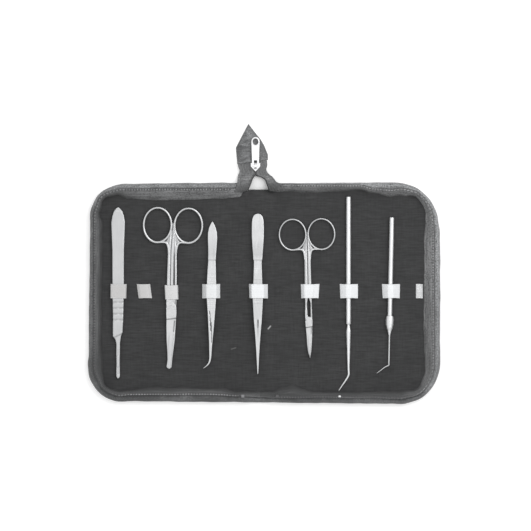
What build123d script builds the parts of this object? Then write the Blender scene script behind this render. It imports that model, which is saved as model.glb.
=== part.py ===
"""Zip-round dissecting instrument case, lying open, with its seven instruments.

Millimetres, +Z up. The origin is the middle of the open case on its underside: X runs across
the two leaves, Y along the spine towards the zip tail. Each leaf folds up through 90 degrees
about its own fold line, and the two zip chains then mesh on the plane between them.
"""
import os
from math import atan, cos, degrees, radians, sin, tan

from build123d import *

os.makedirs("parts", exist_ok=True)

# ------------------------------------------------------------------ the case
case_width = 254.0  # both leaves side by side, over the padded walls
case_length = 160.0  # along the spine
corner_radius = 29.0  # outside corner of a leaf
wall_bulge = 9.0  # padded wall, outward from the liner's edge
closing_height = 11.0  # where the two zip chains meet when the case is shut
cover_thickness = 1.0
board_thickness = 1.5
liner_thickness = 0.6
fold_clearance = 0.3  # between the pieces on the two sides of a fold, all the way round

# padded wall and zip tape, as distances outward from the liner's edge
tape_thickness = 0.7
tape_below_closing = 1.4  # top of the tape, under the closing plane
seam_below_tape = 1.0  # top of the cover, under the top of the tape

# zip chain
tooth_pitch = 3.2
tooth_width = 1.8  # across the tape
tooth_length = 1.5  # along the tape
tooth_mesh = 0.5  # how far a tooth passes the closing plane
tooth_taper = 12.0
chain_end_gap = 2.2  # first tooth to the end of the tape
stop_length = 2.2
stop_wall = 0.7
stop_clearance = 0.1

# woven elastic strap
strap_y = 0.7
elastic_width = 10.9
elastic_thickness = 0.7
elastic_clearance = 0.1  # round the elastic in its slits and under the liner
loop_clearance = 0.3  # between a loop and what it holds
loop_shoulder = 0.8  # rounding of a loop's upper corners

# ------------------------------------------------------------------ worked out from those
board_z = cover_thickness
liner_z = board_z + board_thickness
floor_z = liner_z + liner_thickness
fold_z = cover_thickness  # the fold lines run along the upper face of the cover
fold_x = closing_height - fold_z
panel_rise = floor_z - fold_z
cover_setback = fold_clearance
spine_cover_half = fold_x
panel_setback = panel_rise + fold_clearance
spine_panel_half = fold_x - panel_rise - fold_clearance
liner_half_x = case_width / 2 - wall_bulge
liner_half_y = case_length / 2 - wall_bulge
liner_corner = corner_radius - wall_bulge
tape_top = closing_height - tape_below_closing
seam_top = tape_top - seam_below_tape
wall_radius = seam_top / 2
seam_reach = wall_bulge - wall_radius  # seam of cover and zip tape, and the foot of the wall
tape_centre = seam_reach - tape_thickness / 2
spine_panel_end = liner_half_y - 0.5
rest_z = floor_z + 0.1  # instruments lie this far above the base
relief_z = liner_z - elastic_thickness - elastic_clearance
elastic_z = relief_z + elastic_clearance / 2


def save(piece, label):
    """Name a finished piece and write it."""
    piece.part.label = label
    export_step(piece.part, f"parts/{label}.step")


# ------------------------------------------------------------------ leaf panels and walls
def leaf_edge(side, grow):
    """Line round a leaf, from the fold over its two outer corners and back to the fold."""
    start = side * (fold_x + cover_setback)
    reach = side * (liner_half_x + grow)
    half = liner_half_y + grow
    with BuildLine() as edge:
        FilletPolyline(
            (start, half), (reach, half), (reach, -half), (start, -half), radius=liner_corner + grow
        )
    return edge.wire()


def leaf_shape(side, setback, grow, height):
    """Flat outline of a leaf: square along the fold, round at its two outer corners."""
    start = side * (fold_x + setback)
    reach = side * (liner_half_x + grow)
    half = liner_half_y + grow
    with BuildSketch(Plane.XY.offset(height)) as shape:
        with BuildLine():
            outline = FilletPolyline(
                (start, half), (reach, half), (reach, -half), (start, -half), radius=liner_corner + grow
            )
            Line(outline @ 1, outline @ 0)
        make_face()
    return shape.sketch


def wall_plane(side):
    """Upright plane at the start of a leaf's wall: local x outward, local y up."""
    return Plane(origin=(side * (fold_x + cover_setback), liner_half_y, 0), x_dir=(0, 1, 0), z_dir=(1, 0, 0))


def leaf_cover(side, label):
    """Leatherette cover of a leaf, flat below and curled up round the padded wall."""
    with BuildPart() as cover:
        extrude(leaf_shape(side, cover_setback, seam_reach, 0), amount=cover_thickness)
        with BuildSketch(wall_plane(side)):
            with BuildLine():
                middle = Vector(seam_reach, wall_radius)
                outside = CenterArc(middle, wall_radius, -90, 180)
                spoke = Vector(wall_radius - cover_thickness, 0)
                inside = [middle + spoke.rotate(Axis.Z, turn) for turn in (-90, -30, 30, 90)]
                Polyline(outside @ 0, *inside, outside @ 1)
            make_face()
        sweep(path=leaf_edge(side, 0))
    save(cover, label)


def leaf_board(side, label):
    """Stiffening board, grooved where the elastic passes under the liner."""
    with BuildPart() as board:
        extrude(leaf_shape(side, panel_setback, 0, board_z), amount=board_thickness)
        with Locations((0, strap_y, relief_z)):
            Box(
                case_width, elastic_width + 4 * elastic_clearance, board_thickness,
                align=(Align.CENTER, Align.CENTER, Align.MIN), mode=Mode.SUBTRACT,
            )
    save(board, label)


def cut_slits(legs):
    """Slits through the liner for the legs of the elastic loops, given by their middles."""
    with Locations(*[(x, strap_y, liner_z + liner_thickness / 2) for x in legs]):
        Box(
            elastic_thickness + 2 * elastic_clearance, elastic_width + 2 * elastic_clearance,
            2 * liner_thickness, mode=Mode.SUBTRACT,
        )


def leaf_zip_tape(side, label):
    """Zip tape: an upright lip that carries the teeth, and a band sloping in to the liner."""
    inner = seam_reach - tape_thickness
    with BuildPart() as tape:
        with BuildSketch(wall_plane(side)):
            with BuildLine():
                Polyline(
                    (0, liner_z), (0, floor_z), (inner, seam_top), (inner, tape_top), (seam_reach, tape_top),
                    (seam_reach, seam_top - cover_thickness), (inner, seam_top - cover_thickness - 0.2),
                    (tape_thickness, liner_z + liner_thickness / 2), (0, liner_z),
                )
            make_face()
        sweep(path=leaf_edge(side, 0))
    save(tape, label)


def leaf_zip_teeth(side, phase, label):
    """Chain of teeth on the tape's top; the two leaves are half a pitch apart and mesh."""
    rail = leaf_edge(side, tape_centre)
    run = rail.length - 2 * chain_end_gap - stop_length
    seats = []
    for tooth in range(int(run / tooth_pitch)):
        place = chain_end_gap + (tooth + phase) * tooth_pitch
        spot = rail.position_at(place, PositionMode.LENGTH)
        along = rail.tangent_at(place, PositionMode.LENGTH)
        outward = (-side * along.Y, side * along.X, 0)
        seats.append(Plane(origin=(spot.X, spot.Y, tape_top), x_dir=outward, z_dir=(0, 0, 1)))
    with BuildPart() as teeth:
        with BuildSketch(*seats):
            Rectangle(tooth_width, tooth_length)
        extrude(amount=closing_height + tooth_mesh - tape_top, taper=tooth_taper)
    save(teeth, label)


def leaf_zip_stop(side, label):
    """Metal clamp on the tape's lower end, where the chain stops."""
    slot = tape_thickness + 2 * stop_clearance
    grip = seam_below_tape - stop_clearance
    x = side * (fold_x + cover_setback + chain_end_gap)
    y = -(liner_half_y + tape_centre)
    with BuildPart() as stop:
        with BuildSketch(Plane(origin=(x, y, tape_top), x_dir=(0, 1, 0), z_dir=(1, 0, 0))):
            with Locations((0, -grip)):
                Rectangle(slot + 2 * stop_wall, grip + stop_wall, align=(Align.CENTER, Align.MIN))
                Rectangle(slot, grip, align=(Align.CENTER, Align.MIN), mode=Mode.SUBTRACT)
        extrude(amount=stop_length / 2, both=True)
        fillet(stop.edges().filter_by(Axis.X).group_by(Axis.Z)[-1], 0.5)
    save(stop, label)


# ------------------------------------------------------------------ instruments: sizes and places
scalpel_x = -103.4
scalpel_top = 62.0
scalpel_length = 124.6
scalpel_thickness = 3.0
scalpel_grip_half = 4.3
scalpel_swell = 0.75  # how much wider the head is, on each side
scalpel_shoulder = 93.4  # from the top to the middle of the slanting shoulder
scalpel_slant = 3.0
scalpel_neck = 5.6
scalpel_tang_half = 1.55
scalpel_tang_thickness = 1.4
stud_place = 12.5  # middle of the blade stud, from the tang's tip
stud_size = (9.0, 1.7)
rib_place = 76.2  # middle of the cross ribs, from the top
rib_count = 13
rib_pitch = 1.5
rib_depth = 0.35

blade_thickness = 1.6  # scissors, one blade
blade_gap = 0.1
grip_thickness = 2.2  # scissors, shanks and rings
lap_length = 3.0  # where a shank covers the blade's level and its own
waist_length = 12.0  # slot between the shanks above the pivot
shank_taper = 0.9  # width of a shank at its ring, as a share of the lower width
flare_length = 6.0  # web between a shank and its ring
flare_reach = 3.5
edge_share = 0.75  # cutting edge's distance from the middle, as a share of the back's
screw_shaft = 1.25
screw_bore_clearance = 0.05
screw_head = 0.5
screw_rim = 0.8
screw_slot = 0.5

forceps_arm = 1.0  # thickness of one arm
forceps_weld = 0.7  # root block between the arms
forceps_gap = 0.05
forceps_spread = 2.0  # degrees between the arms at rest
tip_pad_length = 12.0
weld_short = 2.0  # the root block ends this far before the widest point
arm_slope = 2.0  # length over which an arm thins behind the root block
pad_slope = 5.0
forceps_spare = 12.0  # height of the block that an arm is cut from

probe_x = 64.5
probe_top = 69.9
probe_radius = 1.75
probe_neck_y = -23.3
probe_neck = 1.0
probe_taper = 31.7  # neck to the start of the wire
probe_wire = 0.75
probe_end = (57.4, -71.5)

needle_top = (96.1, 54.8)
needle_tilt = 1.2
needle_handle_length = 71.7
needle_radius = 1.7
needle_ferrule_radius = 2.75
needle_ferrule_length = 9.8
needle_cone_length = 4.1
needle_wire = 0.6
needle_end = (85.1, -58.8)


class Scissors:
    """Sizes of one pair, in its own frame: pivot at the origin, rings towards +Y."""

    def __init__(self, pivot, tilt, ring, ring_half, wire, shank_half, shank_gap, slot, boss, step, blade, tip):
        self.pivot = pivot
        self.tilt = tilt
        self.ring = ring  # middle of the right-hand ring
        self.ring_half = ring_half  # outside half sizes of a ring
        self.wire = wire  # width of the ring's wire
        self.shank_half = shank_half  # both shanks together
        self.shank_gap = shank_gap  # half the gap between them
        self.slot = slot  # half the waist between them just above the pivot
        self.boss = boss
        self.step = step  # from the pivot to where a half changes level
        self.blade = blade  # half the width at the pivot, and the length
        self.tip = tip  # radius of the rounded end


large = Scissors(
    pivot=(-64.75, -15.6), tilt=-1.2, ring=(11.25, 64.6), ring_half=(10.9, 13.4), wire=1.6,
    shank_half=3.6, shank_gap=0.3, slot=0.5, boss=3.5, step=8.0, blade=(3.3, 40.2), tip=1.6,
)
small = Scissors(
    pivot=(35.6, -21.6), tilt=1.2, ring=(10.5, 64.0), ring_half=(10.3, 11.8), wire=1.3,
    shank_half=2.5, shank_gap=0.2, slot=1.0, boss=2.5, step=5.8, blade=(2.1, 26.4), tip=0.25,
)

# ------------------------------------------------------------------ instruments: shapes
def make_scalpel():
    """Flat handle for detachable blades, with cross ribs and a grooved tang."""
    tip_y = scalpel_top - scalpel_length
    shoulder_y = scalpel_top - scalpel_shoulder
    tang_y = shoulder_y - scalpel_neck
    grip = scalpel_grip_half
    widest = grip + scalpel_swell
    slant = scalpel_slant / 2
    tang = scalpel_tang_half
    with BuildPart() as handle:
        with BuildSketch(Plane(origin=(scalpel_x, 0, rest_z))):
            with BuildLine():
                right = Spline(
                    (0, scalpel_top), (widest, scalpel_top - 11), (grip, scalpel_top - 31),
                    (grip - 0.1, scalpel_top - 62), (grip - 0.45, shoulder_y - slant),
                    tangents=((1, -0.35), (0, -1)),
                )
                left = Spline(
                    (0, scalpel_top), (-widest, scalpel_top - 11), (-grip, scalpel_top - 31),
                    (-grip + 0.1, scalpel_top - 62), (-grip + 0.45, shoulder_y + slant),
                    tangents=((-1, -0.35), (0, -1)),
                )
                Polyline(left @ 1, (-tang, tang_y), (-tang, tip_y + tang))
                ThreePointArc((-tang, tip_y + tang), (0, tip_y), (tang, tip_y + tang))
                Polyline((tang, tip_y + tang), (tang, tang_y), right @ 1)
            make_face()
        extrude(amount=scalpel_thickness)
        lift = (scalpel_thickness - scalpel_tang_thickness) / 2
        for low in (rest_z, rest_z + scalpel_thickness - lift):
            with Locations((scalpel_x, tang_y, low)):
                Box(3 * grip, scalpel_length, lift, align=(Align.CENTER, Align.MAX, Align.MIN), mode=Mode.SUBTRACT)
        stud_plane = Plane(origin=(scalpel_x, tip_y + stud_place, rest_z + scalpel_thickness - lift))
        with BuildSketch(stud_plane):
            SlotOverall(*stud_size, rotation=90)
        extrude(amount=lift / 2)
        ribs_y = scalpel_top - rib_place
        for low in (rest_z, rest_z + scalpel_thickness):
            with Locations((scalpel_x, ribs_y, low)):
                with GridLocations(1, rib_pitch, 1, rib_count):
                    Box(3 * grip, rib_pitch / 2, 2 * rib_depth, mode=Mode.SUBTRACT)
    save(handle, "scalpel_handle")


def scissors_plane(pair, height):
    """Flat plane through a pair's pivot, turned as the pair lies."""
    turn = radians(pair.tilt)
    return Plane(origin=(*pair.pivot, height), x_dir=(cos(turn), sin(turn), 0), z_dir=(0, 0, 1))


def scissors_half(pair, hand, label):
    """One half: blade and boss on its own level, then the shank and the finger ring."""
    lower = hand < 0
    blade_z = rest_z if lower else rest_z + blade_thickness + blade_gap
    grip_z = rest_z + blade_thickness + (blade_gap - grip_thickness) / 2
    root, length = pair.blade
    step = pair.step
    outer = hand * pair.shank_half
    inner = hand * pair.shank_gap
    ring_x, ring_y = hand * pair.ring[0], pair.ring[1]
    ring_bottom = ring_y - pair.ring_half[1]
    with BuildPart() as half:
        with BuildSketch(scissors_plane(pair, blade_z)):
            Circle(pair.boss)
            with BuildLine():
                back = Line((-hand * root, 0), (-hand * (pair.tip + 0.1), -length + pair.tip))
                nose = ThreePointArc(back @ 1, (0, -length), (hand * pair.tip, -length + pair.tip))
                edge = Line(nose @ 1, (hand * root * edge_share, 0))
                Polyline(
                    edge @ 1, (outer, 0.3), (outer, step + lap_length), (inner, step + lap_length),
                    (inner, pair.boss), back @ 0,
                )
            make_face()
        extrude(amount=blade_thickness)
        with BuildSketch(scissors_plane(pair, grip_z)):
            with BuildLine():
                waist = ThreePointArc(
                    (inner, step + waist_length), (hand * pair.slot, step + waist_length / 2), (inner, step)
                )
                neck = Polyline(waist @ 1, (outer, step), (outer * shank_taper, ring_bottom - flare_length))
                flare = TangentArc(
                    neck @ 1, (ring_x - hand * flare_reach, ring_bottom + pair.wire / 3), tangent=(0, 1)
                )
                Polyline(flare @ 1, (ring_x, ring_y), (inner, ring_y), waist @ 0)
            make_face()
            with Locations((ring_x, ring_y)):
                Ellipse(*pair.ring_half)
                Ellipse(pair.ring_half[0] - pair.wire, pair.ring_half[1] - pair.wire, mode=Mode.SUBTRACT)
        extrude(amount=grip_thickness)
        with Locations(scissors_plane(pair, blade_z)):
            Cylinder(
                screw_shaft + screw_bore_clearance, 3 * blade_thickness, mode=Mode.SUBTRACT
            )
    save(half, label)


def scissors_screw(pair, label):
    """Pivot screw: shaft through both halves and a slotted head on the upper one."""
    top = rest_z + 2 * blade_thickness + blade_gap
    with BuildPart() as screw:
        with BuildSketch(scissors_plane(pair, rest_z)):
            Circle(screw_shaft)
        extrude(amount=top - rest_z)
        with BuildSketch(scissors_plane(pair, top)):
            Circle(screw_shaft + screw_rim)
        extrude(amount=screw_head)
        with BuildSketch(scissors_plane(pair, top + screw_head)):
            Rectangle(4 * screw_shaft, screw_slot, rotation=30)
        extrude(amount=-screw_head / 2, mode=Mode.SUBTRACT)
    save(screw, label)


class Forceps:
    """Plan of one pair of forceps, with its root at the top and its tips below."""

    def __init__(self, root, points, tip):
        self.root = root
        self.points = points  # (distance below the root, half width, sideways shift)
        self.tip = tip  # the same for the tips


straight = Forceps(
    root=(-1.6, 57.4),
    points=((12.5, 4.4, 0.0), (31.0, 3.6, 0.0), (33.5, 3.1, 0.0), (62.0, 3.7, 0.0), (84.0, 2.1, 0.0), (100.0, 1.2, 0.0)),
    tip=(116.6, 0.4, 0.0),
)
curved = Forceps(
    root=(-34.7, 51.5),
    points=((11.0, 3.5, 0.0), (27.5, 3.1, -0.4), (30.0, 2.9, -0.4), (56.0, 3.2, -0.8), (78.0, 2.1, -0.9), (92.7, 1.2, -1.3)),
    tip=(106.8, 0.4, -6.8),
)


def forceps_plan(pair):
    """Seen from above: a rounded root, a springy waist, a grip and narrow tips."""
    x, y = pair.root
    drop, half, shift = pair.tip
    down = [(x + s + w, y - d) for d, w, s in pair.points]
    up = [(x + s - w, y - d) for d, w, s in reversed(pair.points)]
    bend = 0.45 * shift
    with BuildSketch(Plane.XY.offset(rest_z)) as plan:
        with BuildLine():
            crown = Spline(up[-1], (x, y), down[0], tangents=((0, 1), (0, -1)))
            Polyline(*down)
            tip_right = (x + shift + half, y - drop)
            tip_left = (x + shift - half, y - drop)
            Spline(down[-1], tip_right, tangents=((-0.08, -1), (bend, -2)))
            Line(tip_right, tip_left)
            Spline(tip_left, up[0], tangents=((-bend, 2), (0.08, 1)))
            Polyline(*up)
        make_face()
    return plan.sketch


def side_plane(pair):
    """Upright plane along a pair of forceps: local x towards the root, local y up."""
    return Plane(origin=(0, pair.root[1], 0), x_dir=(0, 1, 0), z_dir=(1, 0, 0))


def forceps_lower(pair, label):
    """Arm that lies on the liner, with the weld block at its root and a pad at its tip."""
    length = pair.tip[0]
    top = rest_z + forceps_arm
    meet = top + forceps_weld
    weld = pair.points[0][0] - weld_short
    pad = tip_pad_length - length
    with BuildPart() as arm:
        extrude(forceps_plan(pair), amount=forceps_spare)
        with BuildSketch(side_plane(pair)):
            with BuildLine():
                Polyline(
                    (1, rest_z), (1, meet), (-weld, meet), (-weld - arm_slope, top), (pad + pad_slope, top),
                    (pad, meet - forceps_gap), (-length - 1, meet - forceps_gap), (-length - 1, rest_z), (1, rest_z),
                )
            make_face()
        extrude(amount=case_width / 2, both=True, mode=Mode.INTERSECT)
    save(arm, label)


def forceps_upper(pair, label):
    """Springing arm, welded at the root and standing open towards the tips."""
    length = pair.tip[0]
    hinge = rest_z + forceps_arm + forceps_weld + forceps_gap
    spread = radians(forceps_spread)
    lean = Plane(
        origin=(0, pair.root[1], hinge), x_dir=(0, cos(spread), -sin(spread)), z_dir=(1, 0, 0)
    )
    with BuildPart() as arm:
        extrude(forceps_plan(pair), amount=forceps_spare)
        with BuildSketch(lean):
            with Locations((1, 0)):
                Rectangle(length + 10, forceps_arm, align=(Align.MAX, Align.MIN))
        extrude(amount=case_width / 2, both=True, mode=Mode.INTERSECT)
    save(arm, label)


def turned(frame, outline):
    """Add a solid of revolution round a frame's local y, from points (radius, along)."""
    with BuildSketch(frame) as section:
        with BuildLine():
            Polyline(*outline, close=True)
        make_face()
    revolve(section.sketch, axis=Axis(frame.origin, frame.y_dir))


def bent_point(start, bend, end, radius, end_radius):
    """Add a round wire that runs to a bend and then narrows to its end."""
    with BuildLine() as path:
        FilletPolyline(start, bend, end, radius=4.0)
    straight_run, turn, last = path.edges().sort_by(Axis.Y, reverse=True)
    with BuildSketch(straight_run ^ 0) as section:
        Circle(radius)
    sweep(section.sketch, path=Wire([straight_run, turn]))
    with BuildSketch(last ^ 0) as section:
        Circle(radius)
    extrude(section.sketch, amount=last.length, taper=degrees(atan((radius - end_radius) / last.length)))


def make_probe():
    """Seeker: a round handle, a necked collar and a tapering bent point."""
    frame = Plane(origin=(probe_x, probe_neck_y, rest_z + probe_radius))
    handle_length = probe_top - probe_neck_y
    with BuildPart() as handle:
        turned(
            frame,
            (
                (0, 0), (probe_radius - 0.4, 0), (probe_radius, 0.4), (probe_radius, handle_length - 0.4),
                (probe_radius - 0.4, handle_length), (0, handle_length),
            ),
        )
    save(handle, "probe_handle")

    with BuildPart() as point:
        turned(
            frame,
            (
                (0, 0), (probe_neck, 0), (probe_neck, -1.2), (probe_radius, -4.6), (probe_radius - 0.15, -8.0),
                (probe_wire, -probe_taper), (0, -probe_taper),
            ),
        )
        bent_point(
            frame.from_local_coords((0, -probe_taper, 0)), frame.from_local_coords((0.5, -probe_taper - 5.2, 0)),
            (*probe_end, frame.origin.Z), probe_wire, 0.3,
        )
    save(point, "probe_point")


def make_needle():
    """Bent dissecting needle: handle, ferrule and wire point on one tilted axis."""
    turn = radians(needle_tilt)
    frame = Plane(
        origin=(*needle_top, rest_z + needle_ferrule_radius), x_dir=(cos(turn), -sin(turn), 0), z_dir=(0, 0, 1)
    )
    ferrule_y = -needle_handle_length
    cone_y = ferrule_y - needle_ferrule_length
    point_y = cone_y - needle_cone_length
    with BuildPart() as handle:
        turned(
            frame,
            (
                (0, 0), (needle_radius - 0.4, 0), (needle_radius, -0.4), (needle_radius, ferrule_y), (0, ferrule_y),
            ),
        )
    save(handle, "needle_handle")

    with BuildPart() as ferrule:
        turned(
            frame,
            (
                (0, ferrule_y), (needle_ferrule_radius - 0.3, ferrule_y), (needle_ferrule_radius, ferrule_y - 0.3),
                (needle_ferrule_radius, cone_y), (needle_wire + 0.3, point_y), (0, point_y),
            ),
        )
    save(ferrule, "needle_ferrule")

    with BuildPart() as wire:
        bent_point(
            frame.from_local_coords((0, point_y, 0)), frame.from_local_coords((0, point_y - 21.6, 0)),
            (*needle_end, frame.origin.Z), needle_wire, 0.2,
        )
    save(wire, "needle_point")


# ------------------------------------------------------------------ elastic strap
forceps_rise = tan(radians(forceps_spread))
scissors_top = rest_z + 2 * blade_thickness + blade_gap


def forceps_top(pair):
    """Height of the upper arm where the strap crosses it."""
    reach = pair.root[1] - strap_y + elastic_width / 2
    return rest_z + 2 * forceps_arm + forceps_weld + forceps_gap + reach * forceps_rise


# label: (left foot, right foot, middle and half width of what it holds, its top)
loops = {
    "loop_scalpel": (-109.0, -97.3, scalpel_x, scalpel_grip_half, rest_z + scalpel_thickness),
    "loop_spare": (-89.6, -79.1, -84.3, 2.4, rest_z + 1.2),
    "loop_large_scissors": (-70.2, -59.4, large.pivot[0] + 0.3, large.shank_half, scissors_top),
    "loop_curved_forceps": (-42.1, -29.1, curved.root[0] - 0.8, 3.2, forceps_top(curved)),
    "loop_straight_forceps": (-7.3, 5.6, straight.root[0], 3.7, forceps_top(straight)),
    "loop_small_scissors": (29.9, 42.9, small.pivot[0] - 0.5, small.shank_half, scissors_top),
    "loop_probe": (58.3, 71.4, probe_x, 1.0, rest_z + 2 * probe_radius),
    "loop_needle": (89.0, 102.2, needle_top[0] - 1.1, 1.0, rest_z + needle_ferrule_radius + needle_radius),
}
strap_start = -liner_half_x + 1.0
strap_end_foot = 113.8


def elastic_loop(label, left, right, middle, half, top):
    """Loop of elastic that comes up through the liner, over an instrument and down again."""
    crown = top + loop_clearance + elastic_thickness
    shoulder = floor_z + 0.3
    reach = half + loop_clearance + elastic_thickness
    thick = elastic_thickness
    with BuildPart() as loop:
        with BuildSketch(Plane.XZ.offset(-(strap_y + elastic_width / 2))) as band:
            with BuildLine():
                Polyline(
                    (left, elastic_z), (left, shoulder), (middle - reach, crown), (middle + reach, crown),
                    (right, shoulder), (right, elastic_z), (left, elastic_z),
                )
            make_face()
            fillet(band.vertices().group_by(Axis.Y)[-1], loop_shoulder)
            with BuildLine():
                Polyline(
                    (left + thick, elastic_z), (left + thick, shoulder - 0.2),
                    (middle - reach + thick, crown - thick), (middle + reach - thick, crown - thick),
                    (right - thick, shoulder - 0.2), (right - thick, elastic_z), (left + thick, elastic_z),
                )
            make_face(mode=Mode.SUBTRACT)
        extrude(amount=elastic_width)
    save(loop, label)


def elastic_run(spans, label):
    """Stretches of the same elastic hidden between the board and the liner."""
    with BuildPart() as run:
        for start, end in spans:
            with Locations(((start + end) / 2, strap_y, elastic_z)):
                Box(end - start, elastic_width, elastic_thickness, align=(Align.CENTER, Align.CENTER, Align.MIN))
    save(run, label)


def panel_span(low, high):
    """Loops whose feet lie between two positions across the case, in order."""
    return [loop for loop in loops.values() if low < loop[0] and loop[1] < high]


def slit_middles(held):
    """Where the legs of some loops pass through the liner."""
    return [x for loop in held for x in (loop[0] + elastic_thickness / 2, loop[1] - elastic_thickness / 2)]


def hidden_spans(start, held, end):
    """Gaps before, between and after some loops."""
    feet = [start] + [x for loop in held for x in loop[:2]] + [end]
    return list(zip(feet[0::2], feet[1::2]))


left_loops = panel_span(-liner_half_x, -fold_x)
spine_loops = panel_span(-fold_x, fold_x)
right_loops = panel_span(fold_x, liner_half_x)

for label, loop in loops.items():
    elastic_loop(label, *loop)

with BuildPart() as strap_end:
    with Locations((strap_end_foot, strap_y, elastic_z)):
        Box(
            elastic_thickness, elastic_width, floor_z + elastic_clearance / 2 - elastic_z,
            align=(Align.MIN, Align.CENTER, Align.MIN),
        )
    with Locations((strap_end_foot, strap_y, floor_z + elastic_clearance / 2)):
        Box(
            liner_half_x - 0.4 - strap_end_foot, elastic_width, elastic_thickness,
            align=(Align.MIN, Align.CENTER, Align.MIN),
        )
save(strap_end, "strap_end")

elastic_run(hidden_spans(strap_start, left_loops, -fold_x - panel_setback), "left_elastic")
elastic_run(hidden_spans(fold_x + panel_setback, right_loops, strap_end_foot), "right_elastic")

# ------------------------------------------------------------------ the two leaves
leaf_cover(-1, "left_cover")
leaf_cover(1, "right_cover")
leaf_board(-1, "left_board")
leaf_board(1, "right_board")

with BuildPart() as left_liner:
    extrude(leaf_shape(-1, panel_setback, 0, liner_z), amount=liner_thickness)
    cut_slits(slit_middles(left_loops))
save(left_liner, "left_liner")

with BuildPart() as right_liner:
    extrude(leaf_shape(1, panel_setback, 0, liner_z), amount=liner_thickness)
    cut_slits(slit_middles(right_loops) + [strap_end_foot + elastic_thickness / 2])
save(right_liner, "right_liner")

leaf_zip_tape(-1, "left_zip_tape")
leaf_zip_tape(1, "right_zip_tape")
leaf_zip_teeth(-1, 0.25, "left_zip_teeth")
leaf_zip_teeth(1, 0.75, "right_zip_teeth")
leaf_zip_stop(-1, "left_zip_stop")
leaf_zip_stop(1, "right_zip_stop")

# ------------------------------------------------------------------ the spine
notch = 5.2  # the spine stops this far short of the case's upper end, at the gap in the zip tail
notch_y = case_length / 2 - notch

with BuildPart() as spine_cover:
    with BuildSketch():
        with Locations((0, notch_y)):
            Rectangle(2 * spine_cover_half, notch_y + case_length / 2, align=(Align.CENTER, Align.MAX))
    extrude(amount=cover_thickness)
save(spine_cover, "spine_cover")

with BuildPart() as spine_board:
    with BuildSketch(Plane.XY.offset(board_z)):
        Rectangle(2 * spine_panel_half, 2 * spine_panel_end)
    extrude(amount=board_thickness)
    with Locations((0, strap_y, relief_z)):
        Box(
            case_width, elastic_width + 4 * elastic_clearance, board_thickness,
            align=(Align.CENTER, Align.CENTER, Align.MIN), mode=Mode.SUBTRACT,
        )
save(spine_board, "spine_board")

with BuildPart() as spine_liner:
    with BuildSketch(Plane.XY.offset(liner_z)):
        Rectangle(2 * spine_panel_half, 2 * spine_panel_end)
    extrude(amount=liner_thickness)
    cut_slits(slit_middles(spine_loops))
save(spine_liner, "spine_liner")

# ------------------------------------------------------------------ zip tail, slider and puller
# In this section y counts from the case's upper end.
tail_x = -3.3  # line of the closed chain
tail_neck = 9.0  # half width of the tapes beside the leaves' walls
tail_shoulder = 0.4  # the tapes widen past the walls
tail_foot_z = 0.1  # underside of the tapes at the spine
tail_ramp = (1.4, 5.0)  # they climb from here to here
tail_tape_z = 1.6  # and run on at this height, through the slider
tail_end = 18.5  # tape ends, inside the tab
tail_left = -15.8
tail_right = 4.6
tape_slit = 0.2  # half the gap between the two tapes past the slider's post
post_clearance = 0.4

tab_outline = ((-16.6, 13.5), (-17.6, 25.7), (-8.4, 43.1), (1.7, 30.3), (5.7, 20.7), (5.9, 16.9))
tab_z = 0.5
tab_thickness = 3.1
pocket_depth = 5.0
pocket_clearance = 0.05

slider_front = 8.3
slider_rear = 14.5
slider_point = 3.6  # length of the pointed front
slider_half = 3.45
slider_plate = 0.8
slider_z = 0.2
slider_gap = 1.9  # between the two plates
slider_post = 0.9
post_place = 2.0  # middle of the post, from the slider's point
flange_width = 0.6
flange_length = 2.6
flange_height = 0.45
crown_width = 1.8
crown_height = 2.6
crown_outline = ((9.9, 0), (10.2, 1.4), (11.3, crown_height), (13.2, crown_height), (14.1, 1.6), (14.3, 0))
crown_eye = (2.0, 1.8)

puller_axis = 12.5  # bar under the crown
puller_axis_z = 4.65
puller_thickness = 1.1
puller_root_half = 2.8
puller_eye = 29.9
puller_eye_half = 3.4
puller_hole = 1.6
puller_rim = 0.8  # rim round the hole, and how far it stands proud
puller_rim_height = 0.3
puller_window = (2.6, 3.25)


def tail_plane(height):
    """Flat plane with its origin in the middle of the case's upper end."""
    return Plane(origin=(0, case_length / 2, height))


def tail_side(x):
    """Upright plane along the tail: local x runs away from the case, local y up."""
    return Plane(origin=(x, case_length / 2, 0), x_dir=(0, 1, 0), z_dir=(1, 0, 0))


def tail_tape(outline, label):
    """Tape strand from the spine's end up into the slider and on into the tab."""
    low, high = tail_foot_z, tail_tape_z
    ramp_start, ramp_end = tail_ramp
    with BuildPart() as tape:
        with BuildSketch(tail_plane(0)):
            with BuildLine():
                Polyline(*outline, close=True)
            make_face()
        extrude(amount=tail_tape_z + 2 * tape_thickness)
        with BuildSketch(tail_side(0)):
            with BuildLine():
                Polyline(
                    (-notch, low), (ramp_start, low), (ramp_end, high), (tail_end, high),
                    (tail_end, high + tape_thickness), (ramp_end, high + tape_thickness),
                    (ramp_start, low + tape_thickness), (-notch, low + tape_thickness), close=True,
                )
            make_face()
        extrude(amount=case_width / 2, both=True, mode=Mode.INTERSECT)
    save(tape, label)


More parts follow.
